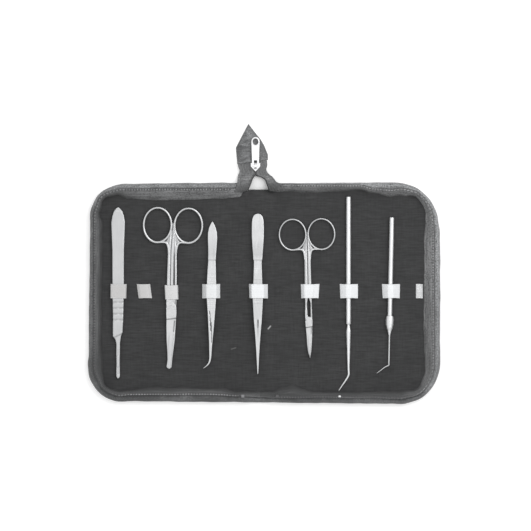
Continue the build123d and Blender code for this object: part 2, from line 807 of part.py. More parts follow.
post_rear = slider_front + post_place + 2 * slider_post
post_room = slider_post + post_clearance
tail_tape(
    (
        (-7.2, -notch), (-tail_neck, -notch), (-tail_neck, tail_shoulder), (-16.6, tail_shoulder), (-16.1, 5.2),
        (-14.9, 8.9), (tail_left, 11.0), (tail_left, tail_end), (tail_x - tape_slit, tail_end),
        (tail_x - tape_slit, post_rear + 0.5), (tail_x - post_room, post_rear - 0.8), (tail_x - post_room - 0.3, 6.0),
    ),
    "tail_tape_left",
)
tail_tape(
    (
        (6.3, -notch), (tail_neck, -notch), (tail_neck, tail_shoulder), (12.2, tail_shoulder), (9.2, 4.3),
        (5.2, 7.4), (tail_right, 9.4), (tail_right, tail_end), (tail_x + tape_slit, tail_end),
        (tail_x + tape_slit, post_rear + 0.5), (tail_x + post_room, post_rear - 0.8), (tail_x + post_room, 6.6),
        (2.2, 4.8), (3.8, 3.1),
    ),
    "tail_tape_right",
)

with BuildPart() as zip_tab:
    with BuildSketch(tail_plane(tab_z)):
        with BuildLine():
            Polyline(*tab_outline, close=True)
        make_face()
    extrude(amount=tab_thickness)
    with Locations(tail_plane(tail_tape_z - pocket_clearance)):
        with Locations(((tail_left + tail_right) / 2, tail_end + pocket_clearance)):
            Box(
                tail_right - tail_left + 4 * pocket_clearance, 2 * pocket_depth, tape_thickness + 2 * pocket_clearance,
                align=(Align.CENTER, Align.MAX, Align.MIN), mode=Mode.SUBTRACT,
            )
save(zip_tab, "zip_tab")

with BuildPart() as slider_body:
    inside_z = slider_z + slider_plate
    upper_z = inside_z + slider_gap
    crown_z = upper_z + slider_plate
    wing = slider_front + slider_point
    with BuildSketch(tail_plane(slider_z), tail_plane(upper_z)):
        with Locations((tail_x, 0)):
            Polygon(
                (-slider_half, slider_rear), (-slider_half, wing), (0, slider_front), (slider_half, wing),
                (slider_half, slider_rear), align=None,
            )
    extrude(amount=slider_plate)
    with BuildSketch(tail_plane(inside_z)):
        with Locations((tail_x, slider_front + post_place)):
            Circle(slider_post)
    extrude(amount=slider_gap)
    with BuildSketch(tail_plane(inside_z), tail_plane(upper_z - flange_height)):
        for edge in (-1, 1):
            with Locations((tail_x + edge * (slider_half - flange_width / 2), slider_rear)):
                Rectangle(flange_width, flange_length, align=(Align.CENTER, Align.MAX))
    extrude(amount=flange_height)
    with BuildSketch(tail_side(tail_x - crown_width / 2)):
        with Locations((0, crown_z)):
            Polygon(*crown_outline, align=None)
        with Locations((puller_axis - 0.2, crown_z)):
            Rectangle(*crown_eye, align=(Align.CENTER, Align.MIN), mode=Mode.SUBTRACT)
    extrude(amount=crown_width)
save(slider_body, "slider_body")

with BuildPart() as zip_puller:
    root = puller_axis - puller_thickness / 2
    with BuildSketch(tail_plane(puller_axis_z - puller_thickness / 2)):
        with BuildLine():
            CenterArc((tail_x, puller_eye), puller_eye_half, 0, 180)
            Polyline(
                (tail_x - puller_eye_half, puller_eye), (tail_x - puller_root_half, root),
                (tail_x + puller_root_half, root), (tail_x + puller_eye_half, puller_eye),
            )
        make_face()
        with Locations((tail_x, puller_eye)):
            Circle(puller_hole, mode=Mode.SUBTRACT)
        with Locations((tail_x, puller_axis + puller_thickness / 2)):
            Rectangle(*puller_window, align=(Align.CENTER, Align.MIN), mode=Mode.SUBTRACT)
    extrude(amount=puller_thickness)
    with BuildSketch(tail_plane(puller_axis_z + puller_thickness / 2)):
        with Locations((tail_x, puller_eye)):
            Circle(puller_hole + puller_rim)
            Circle(puller_hole, mode=Mode.SUBTRACT)
    extrude(amount=puller_rim_height)
save(zip_puller, "zip_puller")

# ------------------------------------------------------------------ the instruments
make_scalpel()

scissors_half(large, 1, "large_scissors_upper")
scissors_half(large, -1, "large_scissors_lower")
scissors_screw(large, "large_scissors_screw")

scissors_half(small, 1, "small_scissors_upper")
scissors_half(small, -1, "small_scissors_lower")
scissors_screw(small, "small_scissors_screw")

forceps_lower(straight, "straight_forceps_lower")
forceps_upper(straight, "straight_forceps_upper")
forceps_lower(curved, "curved_forceps_lower")
forceps_upper(curved, "curved_forceps_upper")

make_probe()
make_needle()
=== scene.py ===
"""Looks of a zip-round dissecting instrument case that lies open with its seven instruments.

Lengths are millimetres until a mesh is made. +X runs across the two leaves, +Y along the spine
towards the zip's tail, +Z up.
"""

import bmesh
import bpy
import numpy as np
from mathutils import Matrix, Vector


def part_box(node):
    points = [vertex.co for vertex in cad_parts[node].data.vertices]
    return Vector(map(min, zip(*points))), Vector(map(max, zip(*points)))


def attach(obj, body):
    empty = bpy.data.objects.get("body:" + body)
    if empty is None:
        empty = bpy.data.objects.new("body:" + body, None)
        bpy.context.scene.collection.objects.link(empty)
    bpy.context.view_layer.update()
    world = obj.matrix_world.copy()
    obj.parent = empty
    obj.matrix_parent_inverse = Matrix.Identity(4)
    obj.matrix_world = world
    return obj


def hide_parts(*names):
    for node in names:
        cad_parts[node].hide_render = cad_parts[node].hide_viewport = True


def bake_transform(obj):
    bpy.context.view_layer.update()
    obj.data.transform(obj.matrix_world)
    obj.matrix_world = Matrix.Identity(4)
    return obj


bl_info = {
    "name": "Dissecting Instrument Case",
    "version": (1, 0, 0),
    "blender": (4, 5, 0),
    "location": "View3D > Sidebar > Instrument Case",
    "description": "Soft shell, zip, elastic strap and steel instruments of an open dissecting case",
    "category": "Add Mesh",
}

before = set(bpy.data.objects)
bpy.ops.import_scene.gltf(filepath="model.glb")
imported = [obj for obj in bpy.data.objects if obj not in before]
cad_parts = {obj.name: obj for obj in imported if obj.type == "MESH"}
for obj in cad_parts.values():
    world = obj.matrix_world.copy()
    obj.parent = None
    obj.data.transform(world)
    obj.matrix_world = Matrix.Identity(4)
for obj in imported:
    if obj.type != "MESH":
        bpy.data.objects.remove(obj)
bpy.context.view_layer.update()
MM = 0.001
LEAVES = {"left": -1, "right": 1}


def node_box(node):
    """Lowest and highest corner of a CAD node, in millimetres."""
    return [np.array(corner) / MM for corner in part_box(node)]


# ---------------------------------------------------------------- places taken from the frame
HALF_X, HALF_Y, LINING_TOP = node_box("right_liner")[1]
CORNER = 20.0  # corner radius of the lining
SPINE_EDGE = node_box("spine_cover")[1][1]  # the spine's upper end, at the gap in the zip tail
FOLD = 10.0  # the two folds' distance from the spine's middle
REST = node_box("scalpel_handle")[0][2]  # underside of the instruments

STRAIGHT, TURN, FLANK = HALF_X - CORNER, np.pi / 2 * CORNER, 2 * (HALF_Y - CORNER)
RIM_ENDS = np.cumsum([STRAIGHT, TURN, FLANK, TURN, STRAIGHT])
RIM_LENGTH = RIM_ENDS[-1]

# How the padded rim lies, leaf by leaf: distance round the lining's edge from the middle of the
# upper end, then how far outward the tape's foot, its ridge and the wall's outside are there.
RIM_SHAPE = {
    "left": (
        (0, 2.9, 4.6, 9.0), (11.4, 2.9, 4.6, 9.0), (14.8, -1.5, 4.4, 9.0), (28, -2.5, 4.0, 9.0),
        (48, -3.3, 4.0, 8.9), (80, -3.6, 4.0, 8.5), (96, -2.7, 3.9, 8.3), (105, 0.9, 4.2, 8.1),
        (113, 3.2, 5.4, 8.4), (121, 0.1, 3.4, 7.1), (130, -3.7, 2.3, 5.9), (155, -3.4, 2.5, 6.1),
        (180, -2.6, 2.6, 6.5), (205, -2.9, 2.6, 6.8), (226, -2.6, 2.7, 6.9), (233, -3.0, 2.8, 7.5),
        (241, -1.5, 3.4, 8.6), (249, 2.0, 4.8, 9.4), (257, 1.2, 4.4, 9.2), (265, -0.2, 3.2, 8.3),
        (282, -2.0, 3.0, 8.3), (304, -2.0, 3.0, 8.7), (320, -1.6, 3.0, 8.8), (332, -1.8, 3.3, 8.9),
        (344, 0.8, 4.0, 9.0), (361, 1.2, 4.9, 9.1),
    ),
    "right": (
        (0, 2.8, 7.1, 8.8), (16, 2.7, 7.1, 8.8), (32, 1.7, 6.7, 8.9), (56, 2.4, 6.8, 9.0), (72, 3.7, 6.6, 9.2),
        (83, 0.9, 4.2, 9.1), (96, -1.0, 3.4, 9.3), (104, 0.4, 5.0, 9.4), (112, 4.4, 7.3, 10.0), (120, 4.5, 7.5, 10.9),
        (128, 2.9, 7.6, 11.9), (138, 1.8, 8.2, 13.2), (160, 1.7, 8.0, 13.3), (184, 1.4, 8.0, 13.4),
        (205, 1.3, 8.3, 13.2), (232, 2.2, 8.1, 13.3), (240, 3.6, 8.5, 13.3), (248, 5.2, 8.7, 12.7),
        (257, 1.4, 6.6, 11.0), (264, 0.4, 5.8, 10.1), (280, 1.2, 5.2, 10.0), (304, 1.4, 5.1, 9.7),
        (321, 1.2, 5.0, 9.6), (330, -1.6, 5.2, 9.5), (337, -3.8, 5.4, 9.5), (344, -2.4, 5.2, 9.3),
        (352, 1.2, 5.1, 9.2), (361, 1.2, 4.9, 9.1),
    ),
}

# How pale the rim is at distances round the lining's edge: partly from handling and dust, partly painted light, paler
# on the right leaf and towards the upper end, where the lamp is nearer.
RIM_WEAR_AND_LIGHT = {
    "left": ((0, 0.62), (60, 0.66), (96, 0.52), (118, 0.40), (170, 0.26), (235, 0.13), (262, 0.06), (361, 0.07)),
    "right": (
        (0, 0.78), (60, 0.84), (92, 0.90), (118, 1.00), (160, 1.00), (200, 0.74), (236, 0.56), (262, 0.08), (361, 0.00),
    ),
}
# How full the tape's padding is there: it stands up from the lining where full, and rises softly
# where slack.
RIM_FILL = {
    "left": ((0, 0.45), (84, 0.45), (104, 0.12), (361, 0.12)),
    "right": ((0, 0.25), (70, 0.25), (120, 0.50), (240, 0.45), (262, 0.10), (361, 0.12)),
}
# How high the ridge stands there, against its full height: it sinks at both ends of the rim.
RIM_RISE = (9, 15, 27, RIM_LENGTH - 11.5, RIM_LENGTH - 3.5), (0.48, 0.52, 1, 1, 0.6)
RIM_START = {"left": 9.0, "right": 7.0}  # where each rim begins, beside the gap in the tail
NEAR_FOLD = 20.0  # how far from the folds the rim is sampled every millimetre
THICKNESS = {"cover": 0.5, "lining": 0.45, "tape": 0.35, "tail": 0.5}


# ---------------------------------------------------------------- meshes
def new_object(name, data):
    """Object for a mesh, a lamp or a camera, put into the scene."""
    made = bpy.data.objects.new(name, data)
    bpy.context.scene.collection.objects.link(made)
    return made


def set_mark(mesh, mark, values):
    """Stores how pale from rubbing and painted light ("rub") or how dull and shaded ("sunk") each vertex is, from 0 to
    1.
    """
    layer = mesh.attributes.get(mark) or mesh.attributes.new(mark, "FLOAT", "POINT")
    layer.data.foreach_set("value", np.asarray(values, np.float32).ravel())


def finish_mesh(name, vertices, faces, uv=None, weld=False, sharp=None, sunk=None):
    """Mesh object from vertices in millimetres and their faces; sunk is how dull each vertex is.

    Doubles are merged and faces turned outward where weld is set. Edges that fold by more than
    sharp degrees and the open borders of a sheet stay crisp.
    """
    mesh = bpy.data.meshes.new(name)
    mesh.from_pydata((np.asarray(vertices) * MM).tolist(), [], np.asarray(faces).tolist())
    if uv is not None:
        mesh.uv_layers.new(name="Surface").data.foreach_set("uv", np.asarray(uv, np.float32).ravel())
    if sunk is not None:
        set_mark(mesh, "sunk", sunk)
    work = bmesh.new()
    work.from_mesh(mesh)
    if weld:
        bmesh.ops.remove_doubles(work, verts=work.verts, dist=1e-7)
        bmesh.ops.recalc_face_normals(work, faces=work.faces)
    for face in work.faces:
        face.smooth = True
    for edge in work.edges:
        edge.smooth = len(edge.link_faces) == 2 and (
            sharp is None or bool(edge.calc_face_angle() < np.radians(sharp))
        )
    work.to_mesh(mesh)
    work.free()
    return new_object(name, mesh)


def grid_faces(rows, columns, wrap):
    """Quads between neighbouring points of a grid; wrap joins its last column to its first."""
    row, column = np.mgrid[0 : rows - 1, 0 : columns if wrap else columns - 1]
    after = (column + 1) % columns
    corners = ((row, column), (row, after), (row + 1, after), (row + 1, column))
    return np.stack([(r * columns + c).ravel() for r, c in corners], axis=1)


def grid_uv(points, wrap):
    """Lengths along and across a grid in millimetres, one pair for each face corner."""
    closed = np.concatenate([points, points[:, :1]], axis=1) if wrap else points
    along = np.linalg.norm(np.diff(closed, axis=0), axis=2).max(axis=1)
    across = np.linalg.norm(np.diff(closed, axis=1), axis=2).max(axis=0)
    u, v = (np.concatenate([[0], np.cumsum(steps)]) for steps in (along, across))
    row, column = np.mgrid[0 : len(u) - 1, 0 : len(v) - 1]
    ends = [(row, column), (row, column + 1), (row + 1, column + 1), (row + 1, column)]
    return np.stack([np.stack([u[r], v[c]], axis=-1).reshape(-1, 2) for r, c in ends], axis=1)


def sheet_mesh(name, points, wrap=False, facing=None, weld=False, sharp=None, sunk=None):
    """Surface through a grid of points (rows, columns, 3), facing a given way on the whole."""
    rows, columns = points.shape[:2]
    faces, uv = grid_faces(rows, columns, wrap), grid_uv(points, wrap)
    if facing is not None:
        corners = points.reshape(-1, 3)[faces]
        total = np.cross(corners[:, 2] - corners[:, 0], corners[:, 3] - corners[:, 1]).sum(axis=0)
        if total @ np.array(facing, float) < 0:
            faces, uv = faces[:, ::-1], uv[:, ::-1]
    return finish_mesh(name, points.reshape(-1, 3), faces, uv, weld, sharp, sunk)


def tube_mesh(name, rings, sharp=None, sunk=None):
    """Closed solid through rings of points (rings, points round, 3), each end drawn in to its middle."""
    ends = [np.broadcast_to(ring.mean(axis=1, keepdims=True), ring.shape) for ring in (rings[:1], rings[-1:])]
    if sunk is not None:
        sunk = np.concatenate([sunk[:1], sunk, sunk[-1:]])
    return sheet_mesh(name, np.concatenate([ends[0], rings, ends[1]]), wrap=True, weld=True, sharp=sharp, sunk=sunk)


def join(name, *parts, weld=False):
    """One object from several, keeping each one's faces and surface lengths; weld closes their seams."""
    work = bmesh.new()
    for part in parts:
        work.from_mesh(part.data)
        bpy.data.objects.remove(part)
    if weld:
        bmesh.ops.remove_doubles(work, verts=work.verts, dist=2e-6)
        for edge in work.edges:
            edge.smooth = len(edge.link_faces) == 2
    mesh = bpy.data.meshes.new(name)
    work.to_mesh(mesh)
    work.free()
    return new_object(name, mesh)


def solidify(piece, thickness, offset=-1.0):
    """Gives a sheet its thickness in millimetres; offset -1 keeps the outer face where it is."""
    wall = piece.modifiers.new("Thickness", "SOLIDIFY")
    wall.thickness, wall.offset, wall.use_rim = thickness * MM, offset, True


def through(points, samples):
    """Smooth line through points (count, ...), sampled evenly by point number.

    Each stretch is the Catmull-Rom cubic: it leaves and reaches its two points along the chord
    between their neighbours, and the end points are repeated.
    """
    points = np.asarray(points, float)
    padded = np.concatenate([points[:1], points, points[-1:]])
    t = np.linspace(0, len(points) - 1 - 1e-9, samples)
    first = t.astype(int)
    f = (t - first).reshape((-1,) + (1,) * (points.ndim - 1))
    a, b, c, d = (padded[first + k] for k in range(4))
    return 0.5 * (2 * b + (c - a) * f + (2 * a - 5 * b + 4 * c - d) * f**2 + (3 * b - 3 * c + d - a) * f**3)


def eased(x, places, values):
    """Values at named places, with a cosine ease from each place to the next."""
    places, values = np.asarray(places, float), np.asarray(values, float)
    x = np.clip(x, places[0], places[-1])
    k = np.clip(np.searchsorted(places, x, side="right") - 1, 0, len(places) - 2)
    share = (x - places[k]) / (places[k + 1] - places[k])
    share = (1 - np.cos(np.pi * share)) / 2
    share = share.reshape(share.shape + (1,) * (values.ndim - 1))
    return values[k] * (1 - share) + values[k + 1] * share


def ripple(x, y, size, seed):
    """Gentle unevenness from -1 to 1: four sine waves of about that size in different directions."""
    turns = np.random.default_rng(seed).uniform(0, 2 * np.pi, (4, 2))
    waves = [
        np.sin((x * np.cos(turn) + y * np.sin(turn)) * 2 * np.pi / (size * (0.7 + 0.25 * k)) + phase)
        for k, (turn, phase) in enumerate(turns)
    ]
    return sum(waves) / 4


def hump(x, width, power=2):
    """Bell curve: 1 at x = 0 and 1/e at the width. Power 4 makes its top flat and its sides steep."""
    return np.exp(-((x / width) ** power))


def lengths(line):
    """Distance down a line from its first point to each point."""
    return np.concatenate([[0], np.cumsum(np.linalg.norm(np.diff(line, axis=0), axis=1))])


def xyz(x, y, z):
    """Points from their three coordinates, each an array or one number."""
    return np.stack(np.broadcast_arrays(x, y, z), axis=-1)


def raised(plan, z):
    """Points from their places in plan (..., 2) and their heights."""
    return xyz(plan[..., 0], plan[..., 1], z)


def bar(name, line, half_width, half_height, corner, flats=(2, 2), arc=3, carve=None, sharp=None, stain=None):
    """Bar along a line that lies flat: every ring is a rounded rectangle square to the line.

    A ring's corner is a quarter circle whose middle stands in from both sides by its radius; the
    flat stretches between the corners have that many steps. carve(across, along) is how far the
    upper side sinks at a place on it, and stain(across, along) how dull it is there:
    painted shade and reflection on most pieces, real scratches on the plate.
    """
    line = np.asarray(line, float)
    rings = len(line)
    w, h, r = (np.broadcast_to(np.asarray(v, float), (rings,))[:, None] for v in (half_width, half_height, corner))
    r = np.minimum(r, np.minimum(w, h) * 0.999)
    quarter = np.linspace(0, np.pi / 2, arc + 1)
    corners = [(1, 1), (-1, 1), (-1, -1), (1, -1)]
    across, rise = [], []
    for k, (sx, sz) in enumerate(corners):
        turn = quarter + k * np.pi / 2
        across.append(sx * (w - r) + r * np.cos(turn))
        rise.append(sz * (h - r) + r * np.sin(turn))
        next_sx, next_sz = corners[(k + 1) % 4]
        steps = np.linspace(0, 1, flats[k % 2] + 1)[1:-1]
        x_end = next_sx * (w - r) + r * np.cos(turn[-1])
        z_end = next_sz * (h - r) + r * np.sin(turn[-1])
        across.append(across[-1][:, -1:] + (x_end - across[-1][:, -1:]) * steps)
        rise.append(rise[-1][:, -1:] + (z_end - rise[-1][:, -1:]) * steps)
    across, rise = np.concatenate(across, axis=1), np.concatenate(rise, axis=1)
    runs = np.broadcast_to(lengths(line)[:, None], across.shape)
    sunk = np.where(rise > 0.3 * h, stain(across, runs), 0) if stain is not None else 0 * rise
    if carve is not None:
        rise = rise - np.where(rise > 0.5 * h, carve(across, runs), 0)
    tangent = np.gradient(line, axis=0)
    tangent /= np.linalg.norm(tangent, axis=1, keepdims=True)
    side = xyz(tangent[:, 1], -tangent[:, 0], 0.0)
    side /= np.linalg.norm(side, axis=1, keepdims=True)
    up = np.cross(side, tangent)
    points = line[:, None] + across[..., None] * side[:, None] + rise[..., None] * up[:, None]
    return tube_mesh(name, points, sharp, sunk)


def rod(name, line, radius, arc=6):
    """Round bar: circles of a radius along a line, each made of four arcs."""
    return bar(name, line, radius, radius, radius, flats=(1, 1), arc=arc, sharp=50)


# ---------------------------------------------------------------- the padded rim's lines
def rim_line(side, s):
    """Points (x, y) on the lining's edge at distances s round a leaf, and outward directions there.

    From the middle of the upper end the line runs straight out, round a quarter circle, down the
    side, round a second quarter circle and straight back to the middle of the lower end.
    """
    first = np.clip((s - RIM_ENDS[0]) / CORNER, 0, np.pi / 2)
    second = np.clip((s - RIM_ENDS[2]) / CORNER, 0, np.pi / 2)
    x = np.clip(s, 0, STRAIGHT) + CORNER * np.sin(first) - CORNER * (1 - np.cos(second))
    x = x - np.clip(s - RIM_ENDS[3], 0, STRAIGHT)
    y = HALF_Y - CORNER * (1 - np.cos(first)) - np.clip(s - RIM_ENDS[1], 0, FLANK) - CORNER * np.sin(second)
    facing = np.pi / 2 - first - second
    return np.stack([side * x, y], axis=-1), np.stack([side * np.cos(facing), np.sin(facing)], axis=-1)


def rim_steps(start):
    """Distances round a leaf from start to the spine, closer together near the folds."""
    between = np.linspace(NEAR_FOLD, RIM_LENGTH - NEAR_FOLD, 190)
    last = np.linspace(RIM_LENGTH - (NEAR_FOLD - 1), RIM_LENGTH, 20)
    steps = np.concatenate([np.arange(0, NEAR_FOLD), between, last])
    return steps[steps >= start]


def rim_value(table, leaf, s, column=1):
    """A column of one of the rim's tables at distances round a leaf, eased from row to row."""
    rows = np.array(table[leaf], float)
    return eased(s, rows[:, 0], rows[:, column])


def rim_shape(leaf, s):
    """Outward distances of the tape's foot, the ridge and the wall's outside, and the ridge's height."""
    foot, ridge, outside = (rim_value(RIM_SHAPE, leaf, s, column) for column in (1, 2, 3))
    look = bpy.context.scene.instrument_case
    soft = look.rim_unevenness / MM
    seed = 3 + LEAVES[leaf]
    foot = foot + soft * ripple(s, 0 * s, 17, seed) + 0.4 * soft * ripple(s, 0 * s, 5, seed + 9)
    ridge = ridge + 0.5 * soft * ripple(s, 0 * s, 26, seed + 1)
    height = look.ridge_height / MM + 0.35 * ripple(s, 0 * s, 31, seed + 2)
    return foot, ridge, outside, height * eased(s, *RIM_RISE)


def rim_wear_and_light(leaf, s):
    """How pale the rim is at distances round a leaf, from handling and painted light, a little patchy."""
    return np.clip(rim_value(RIM_WEAR_AND_LIGHT, leaf, s) * (1 + 0.22 * ripple(s, 0 * s, 14, 90 + LEAVES[leaf])), 0, 1)


def carried(leaf, s, offsets):
    """Rim profile carried round a leaf: offsets (rows, columns, 2) are outward distance and height."""
    places, outward = rim_line(LEAVES[leaf], s)
    flat = places[:, None] + offsets[..., :1] * outward[:, None]
    return np.concatenate([flat, offsets[..., 1:]], axis=-1)


def profile(*pairs):
    """Control points of a rim profile, given as (outward, height) pairs of arrays or numbers."""
    rows = np.broadcast_shapes(*(np.shape(value) for pair in pairs for value in pair))
    return np.stack([np.stack([np.broadcast_to(v, rows) for v in pair], axis=-1) for pair in pairs], axis=1)


def smooth_profile(samples, *pairs):
    """Rim profile run smoothly through its control points, and the samples' places on it from 0 to 1."""
    rows = through(np.moveaxis(profile(*pairs), 1, 0), samples)
    return np.moveaxis(rows, 0, 1), np.linspace(0, 1, samples)[None]


def filled(edge):
    """Grid over a leaf from the points (count, 3) round its edge, made with rim_steps(0).

    It is the Coons patch between four lines: the upper edge, the lower edge and the outer side, which
    part at the middles of the two corners, and the straight line down the spine. A point is the sum
    of the two ways to go straight across less the patch through the four corners.
    """
    turn = 75  # steps from the middle of an end to the middle of its corner
    upper, lower, outer = edge[: turn + 1], edge[::-1][: turn + 1], edge[turn : len(edge) - turn]
    u = (np.arange(turn + 1) / turn)[None, :, None]
    v = np.linspace(0, 1, len(outer))[:, None, None]
    spine = edge[0] * (1 - v[:, 0]) + edge[-1] * v[:, 0]
    across = upper[None] * (1 - v) + lower[None] * v
    along = spine[:, None] * (1 - u) + outer[:, None] * u
    corners = (edge[0] * (1 - v) + edge[-1] * v) * (1 - u) + (outer[0] * (1 - v) + outer[-1] * v) * u
    return across + along - corners


def bend_at_fold(piece, leaf):
    """Bakes a piece's place into its mesh; the leaf is not used."""
    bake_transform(piece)


# ---------------------------------------------------------------- materials
class Tree:
    """Short way to add nodes to one node tree."""

    def __init__(self, tree):
        self.tree = tree

    def give(self, socket, value):
        """Joins a socket to another one, or sets its constant."""
        if isinstance(value, bpy.types.NodeSocket):
            self.tree.links.new(value, socket)
        else:
            socket.default_value = value

    def add(self, kind, *inputs, named=None, **settings):
        """New node; inputs are values or sockets in order, None leaves one alone."""
        node = self.tree.nodes.new(kind)
        for key, value in settings.items():
            setattr(node, key, value)
        for place, value in [*enumerate(inputs), *(named or {}).items()]:
            if value is not None:
                self.give(node.inputs[place], value)
        return node

    def math(self, operation, *inputs, clamp=False):
        """Result of one sum."""
        return self.add("ShaderNodeMath", *inputs, operation=operation, use_clamp=clamp).outputs[0]

    def times(self, first, second):
        """Product of two values."""
        return self.math("MULTIPLY", first, second)

    def scaled(self, vector, factors):
        """Vector with a factor for each axis."""
        return self.add("ShaderNodeVectorMath", vector, factors, operation="MULTIPLY").outputs[0]

    def noise(self, vector, scale, detail, roughness=0.5):
        """Cloudy noise around 0.5."""
        named = {"Scale": scale, "Detail": detail, "Roughness": roughness}
        return self.add("ShaderNodeTexNoise", vector, named=named).outputs["Fac"]

    def mark(self, name):
        """What a piece has stored at each vertex under that name."""
        return self.add("ShaderNodeAttribute", attribute_name=name).outputs["Fac"]

    def mix(self, share, first, second, blend="MIX"):
        """Colour between two colours, or the first darkened by the second where blend is MULTIPLY."""
        node = self.add("ShaderNodeMix", data_type="RGBA", blend_type=blend)
        for place, value in ((0, share), (6, first), (7, second)):
            self.give(node.inputs[place], value)
        return node.outputs[2]

    def span(self, value, low, high, to_low=0.0, to_high=1.0):
        """Value moved from one range to another and kept inside it."""
        named = {"Value": value, "From Min": low, "From Max": high, "To Min": to_low, "To Max": to_high}
        return self.add("ShaderNodeMapRange", named=named).outputs[0]

    def bump(self, height, strength, distance):
        """Surface direction bent by a height that stands for that many metres."""
        named = {"Strength": strength, "Distance": distance, "Height": height}
        return self.add("ShaderNodeBump", named=named).outputs[0]


def emptied(owner):
    """Tree helper for the node tree of a new material or world, with nothing in it."""
    owner.use_nodes = True
    owner.node_tree.nodes.clear()
    return Tree(owner.node_tree)


def new_group(name, inputs, outputs):
    """Shader node group: its tree helper, what it is given and what it puts out."""
    group = bpy.data.node_groups.new(name, "ShaderNodeTree")
    for label, kind, value in inputs:
        socket = group.interface.new_socket(label, in_out="INPUT", socket_type=f"NodeSocket{kind}")
        if value is not None:
            socket.default_value = value
    for label, kind in outputs:
        group.interface.new_socket(label, in_out="OUTPUT", socket_type=f"NodeSocket{kind}")
    tree = Tree(group)
    return tree, tree.add("NodeGroupInput").outputs, tree.add("NodeGroupOutput").inputs


def make_groups():
    """The five effects that several finishes share."""
    vector, colours = ("Vector", "Vector", None), [("Colour", "Color", None)]

    tree, given, put = new_group(
        "Lengthwise Streaks",
        [vector, *colours, ("Pale", "Color", None), ("Dark", "Color", None), ("Amount", "Float", 1.0)],
        [("Colour", "Color")],
    )
    streak = tree.noise(tree.scaled(given["Vector"], (0.035, 0.80, 0.0)), 1.0, 6.0, 0.68)
    patchy = tree.noise(given["Vector"], 0.16, 3.0)
    amount = tree.times(given["Amount"], tree.span(patchy, 0.34, 0.60, 0.35, 1.0))
    pale = tree.mix(tree.times(amount, tree.span(streak, 0.48, 0.66, 0.0, 0.75)), given["Colour"], given["Pale"])
    dark = tree.mix(tree.times(amount, tree.span(streak, 0.49, 0.36, 0.0, 0.65)), pale, given["Dark"])
    tree.give(put["Colour"], dark)

    tree, given, put = new_group(
        "Pebbled Grain", [vector, ("Scale", "Float", 900.0)], [("Height", "Float"), ("Crease", "Float")]
    )
    warp = tree.add("ShaderNodeTexNoise", given["Vector"], named={"Scale": 260.0, "Detail": 2.0}).outputs["Color"]
    reach = (0.0012, 0.0012, 0.0012)
    moved = tree.add("ShaderNodeVectorMath", warp, reach, given["Vector"], operation="MULTIPLY_ADD").outputs[0]
    cells = tree.add("ShaderNodeTexVoronoi", moved, named={"Scale": given["Scale"]}, feature="DISTANCE_TO_EDGE")
    crease = tree.span(cells.outputs["Distance"], 0.02, 0.22, 1.0, 0.0)
    fine = tree.noise(given["Vector"], 4200.0, 2.0)
    tree.give(put["Height"], tree.math("MULTIPLY_ADD", fine, 0.25, tree.math("SUBTRACT", 1.0, crease)))
    tree.give(put["Crease"], crease)

    tree, given, put = new_group(
        "Plain Weave", [vector, ("Warp Pitch", "Float", 0.6), ("Weft Pitch", "Float", 0.6)],
        [("Height", "Float"), ("Thread", "Float")],
    )
    u, v, _ = tree.add("ShaderNodeSeparateXYZ", given["Vector"]).outputs
    waves = [
        tree.math("SINE", tree.times(tree.math("DIVIDE", way, given[pitch]), float(np.pi)))
        for way, pitch in ((u, "Warp Pitch"), (v, "Weft Pitch"))
    ]
    over = tree.math("GREATER_THAN", tree.times(*waves), 0.0)
    heights = [tree.math("ABSOLUTE", wave) for wave in waves]
    lift = tree.math("SUBTRACT", heights[0], heights[1])
    tree.give(put["Height"], tree.math("MULTIPLY_ADD", over, lift, heights[1]))
    tree.give(put["Thread"], over)

    # Dust and lint, and a paler colour where a piece marks rubbing and painted light.
    tree, given, put = new_group(
        "Rubbing, Dust and Painted Light",
        [vector, *colours, ("Rubbed", "Color", None), ("Rub", "Float", 0.0), ("Dust", "Float", 0.2)],
        [("Colour", "Color"), ("Mask", "Float")],
    )
    cloud = tree.noise(given["Vector"], 42.0, 4.0, 0.62)
    speck = tree.noise(given["Vector"], 900.0, 3.0)
    dust = tree.times(tree.span(cloud, 0.42, 0.72), given["Dust"])
    lint = tree.times(tree.span(speck, 0.64, 0.74), tree.times(given["Dust"], 0.6))
    rub = tree.times(given["Rub"], tree.span(speck, 0.30, 0.54))
    mask = tree.math("ADD", tree.math("ADD", dust, lint), rub, clamp=True)
    tree.give(put["Colour"], tree.mix(mask, given["Colour"], given["Rubbed"]))
    tree.give(put["Mask"], mask)

    tree, given, put = new_group(
        "Satin Brushing", [vector, *colours, ("Depth", "Float", 0.2)],
        [("Colour", "Color"), ("Roughness", "Float"), ("Height", "Float")],
    )
    streak = tree.noise(tree.scaled(given["Vector"], (2600.0, 70.0, 2600.0)), 1.0, 3.0)
    patch = tree.noise(given["Vector"], 120.0, 3.0)
    shade = tree.span(tree.math("MULTIPLY_ADD", patch, 0.5, streak), 0.5, 1.0, 1.0, 0.0)
    depth = tree.times(shade, given["Depth"])
    tree.give(put["Colour"], tree.mix(depth, given["Colour"], (0.55, 0.56, 0.58, 1), blend="MULTIPLY"))
    tree.give(put["Roughness"], tree.span(streak, 0.3, 0.7, -0.08, 0.1))
    tree.give(put["Height"], streak)


def new_finish(name):
    """Material with a Principled shader: its tree helper, the shader and the object coordinates."""
    material = bpy.data.materials.new(name)
    tree = emptied(material)
    shader = tree.add("ShaderNodeBsdfPrincipled")
    tree.add("ShaderNodeOutputMaterial", shader.outputs[0])
    return tree, shader, tree.add("ShaderNodeTexCoord").outputs["Object"]


def feed(tree, shader, **sockets):
    """Sets or joins the shader's inputs, given by their names with spaces left out."""
    names = {socket.name.replace(" ", ""): socket for socket in shader.inputs}
    for key, value in sockets.items():
        tree.give(names[key], value)


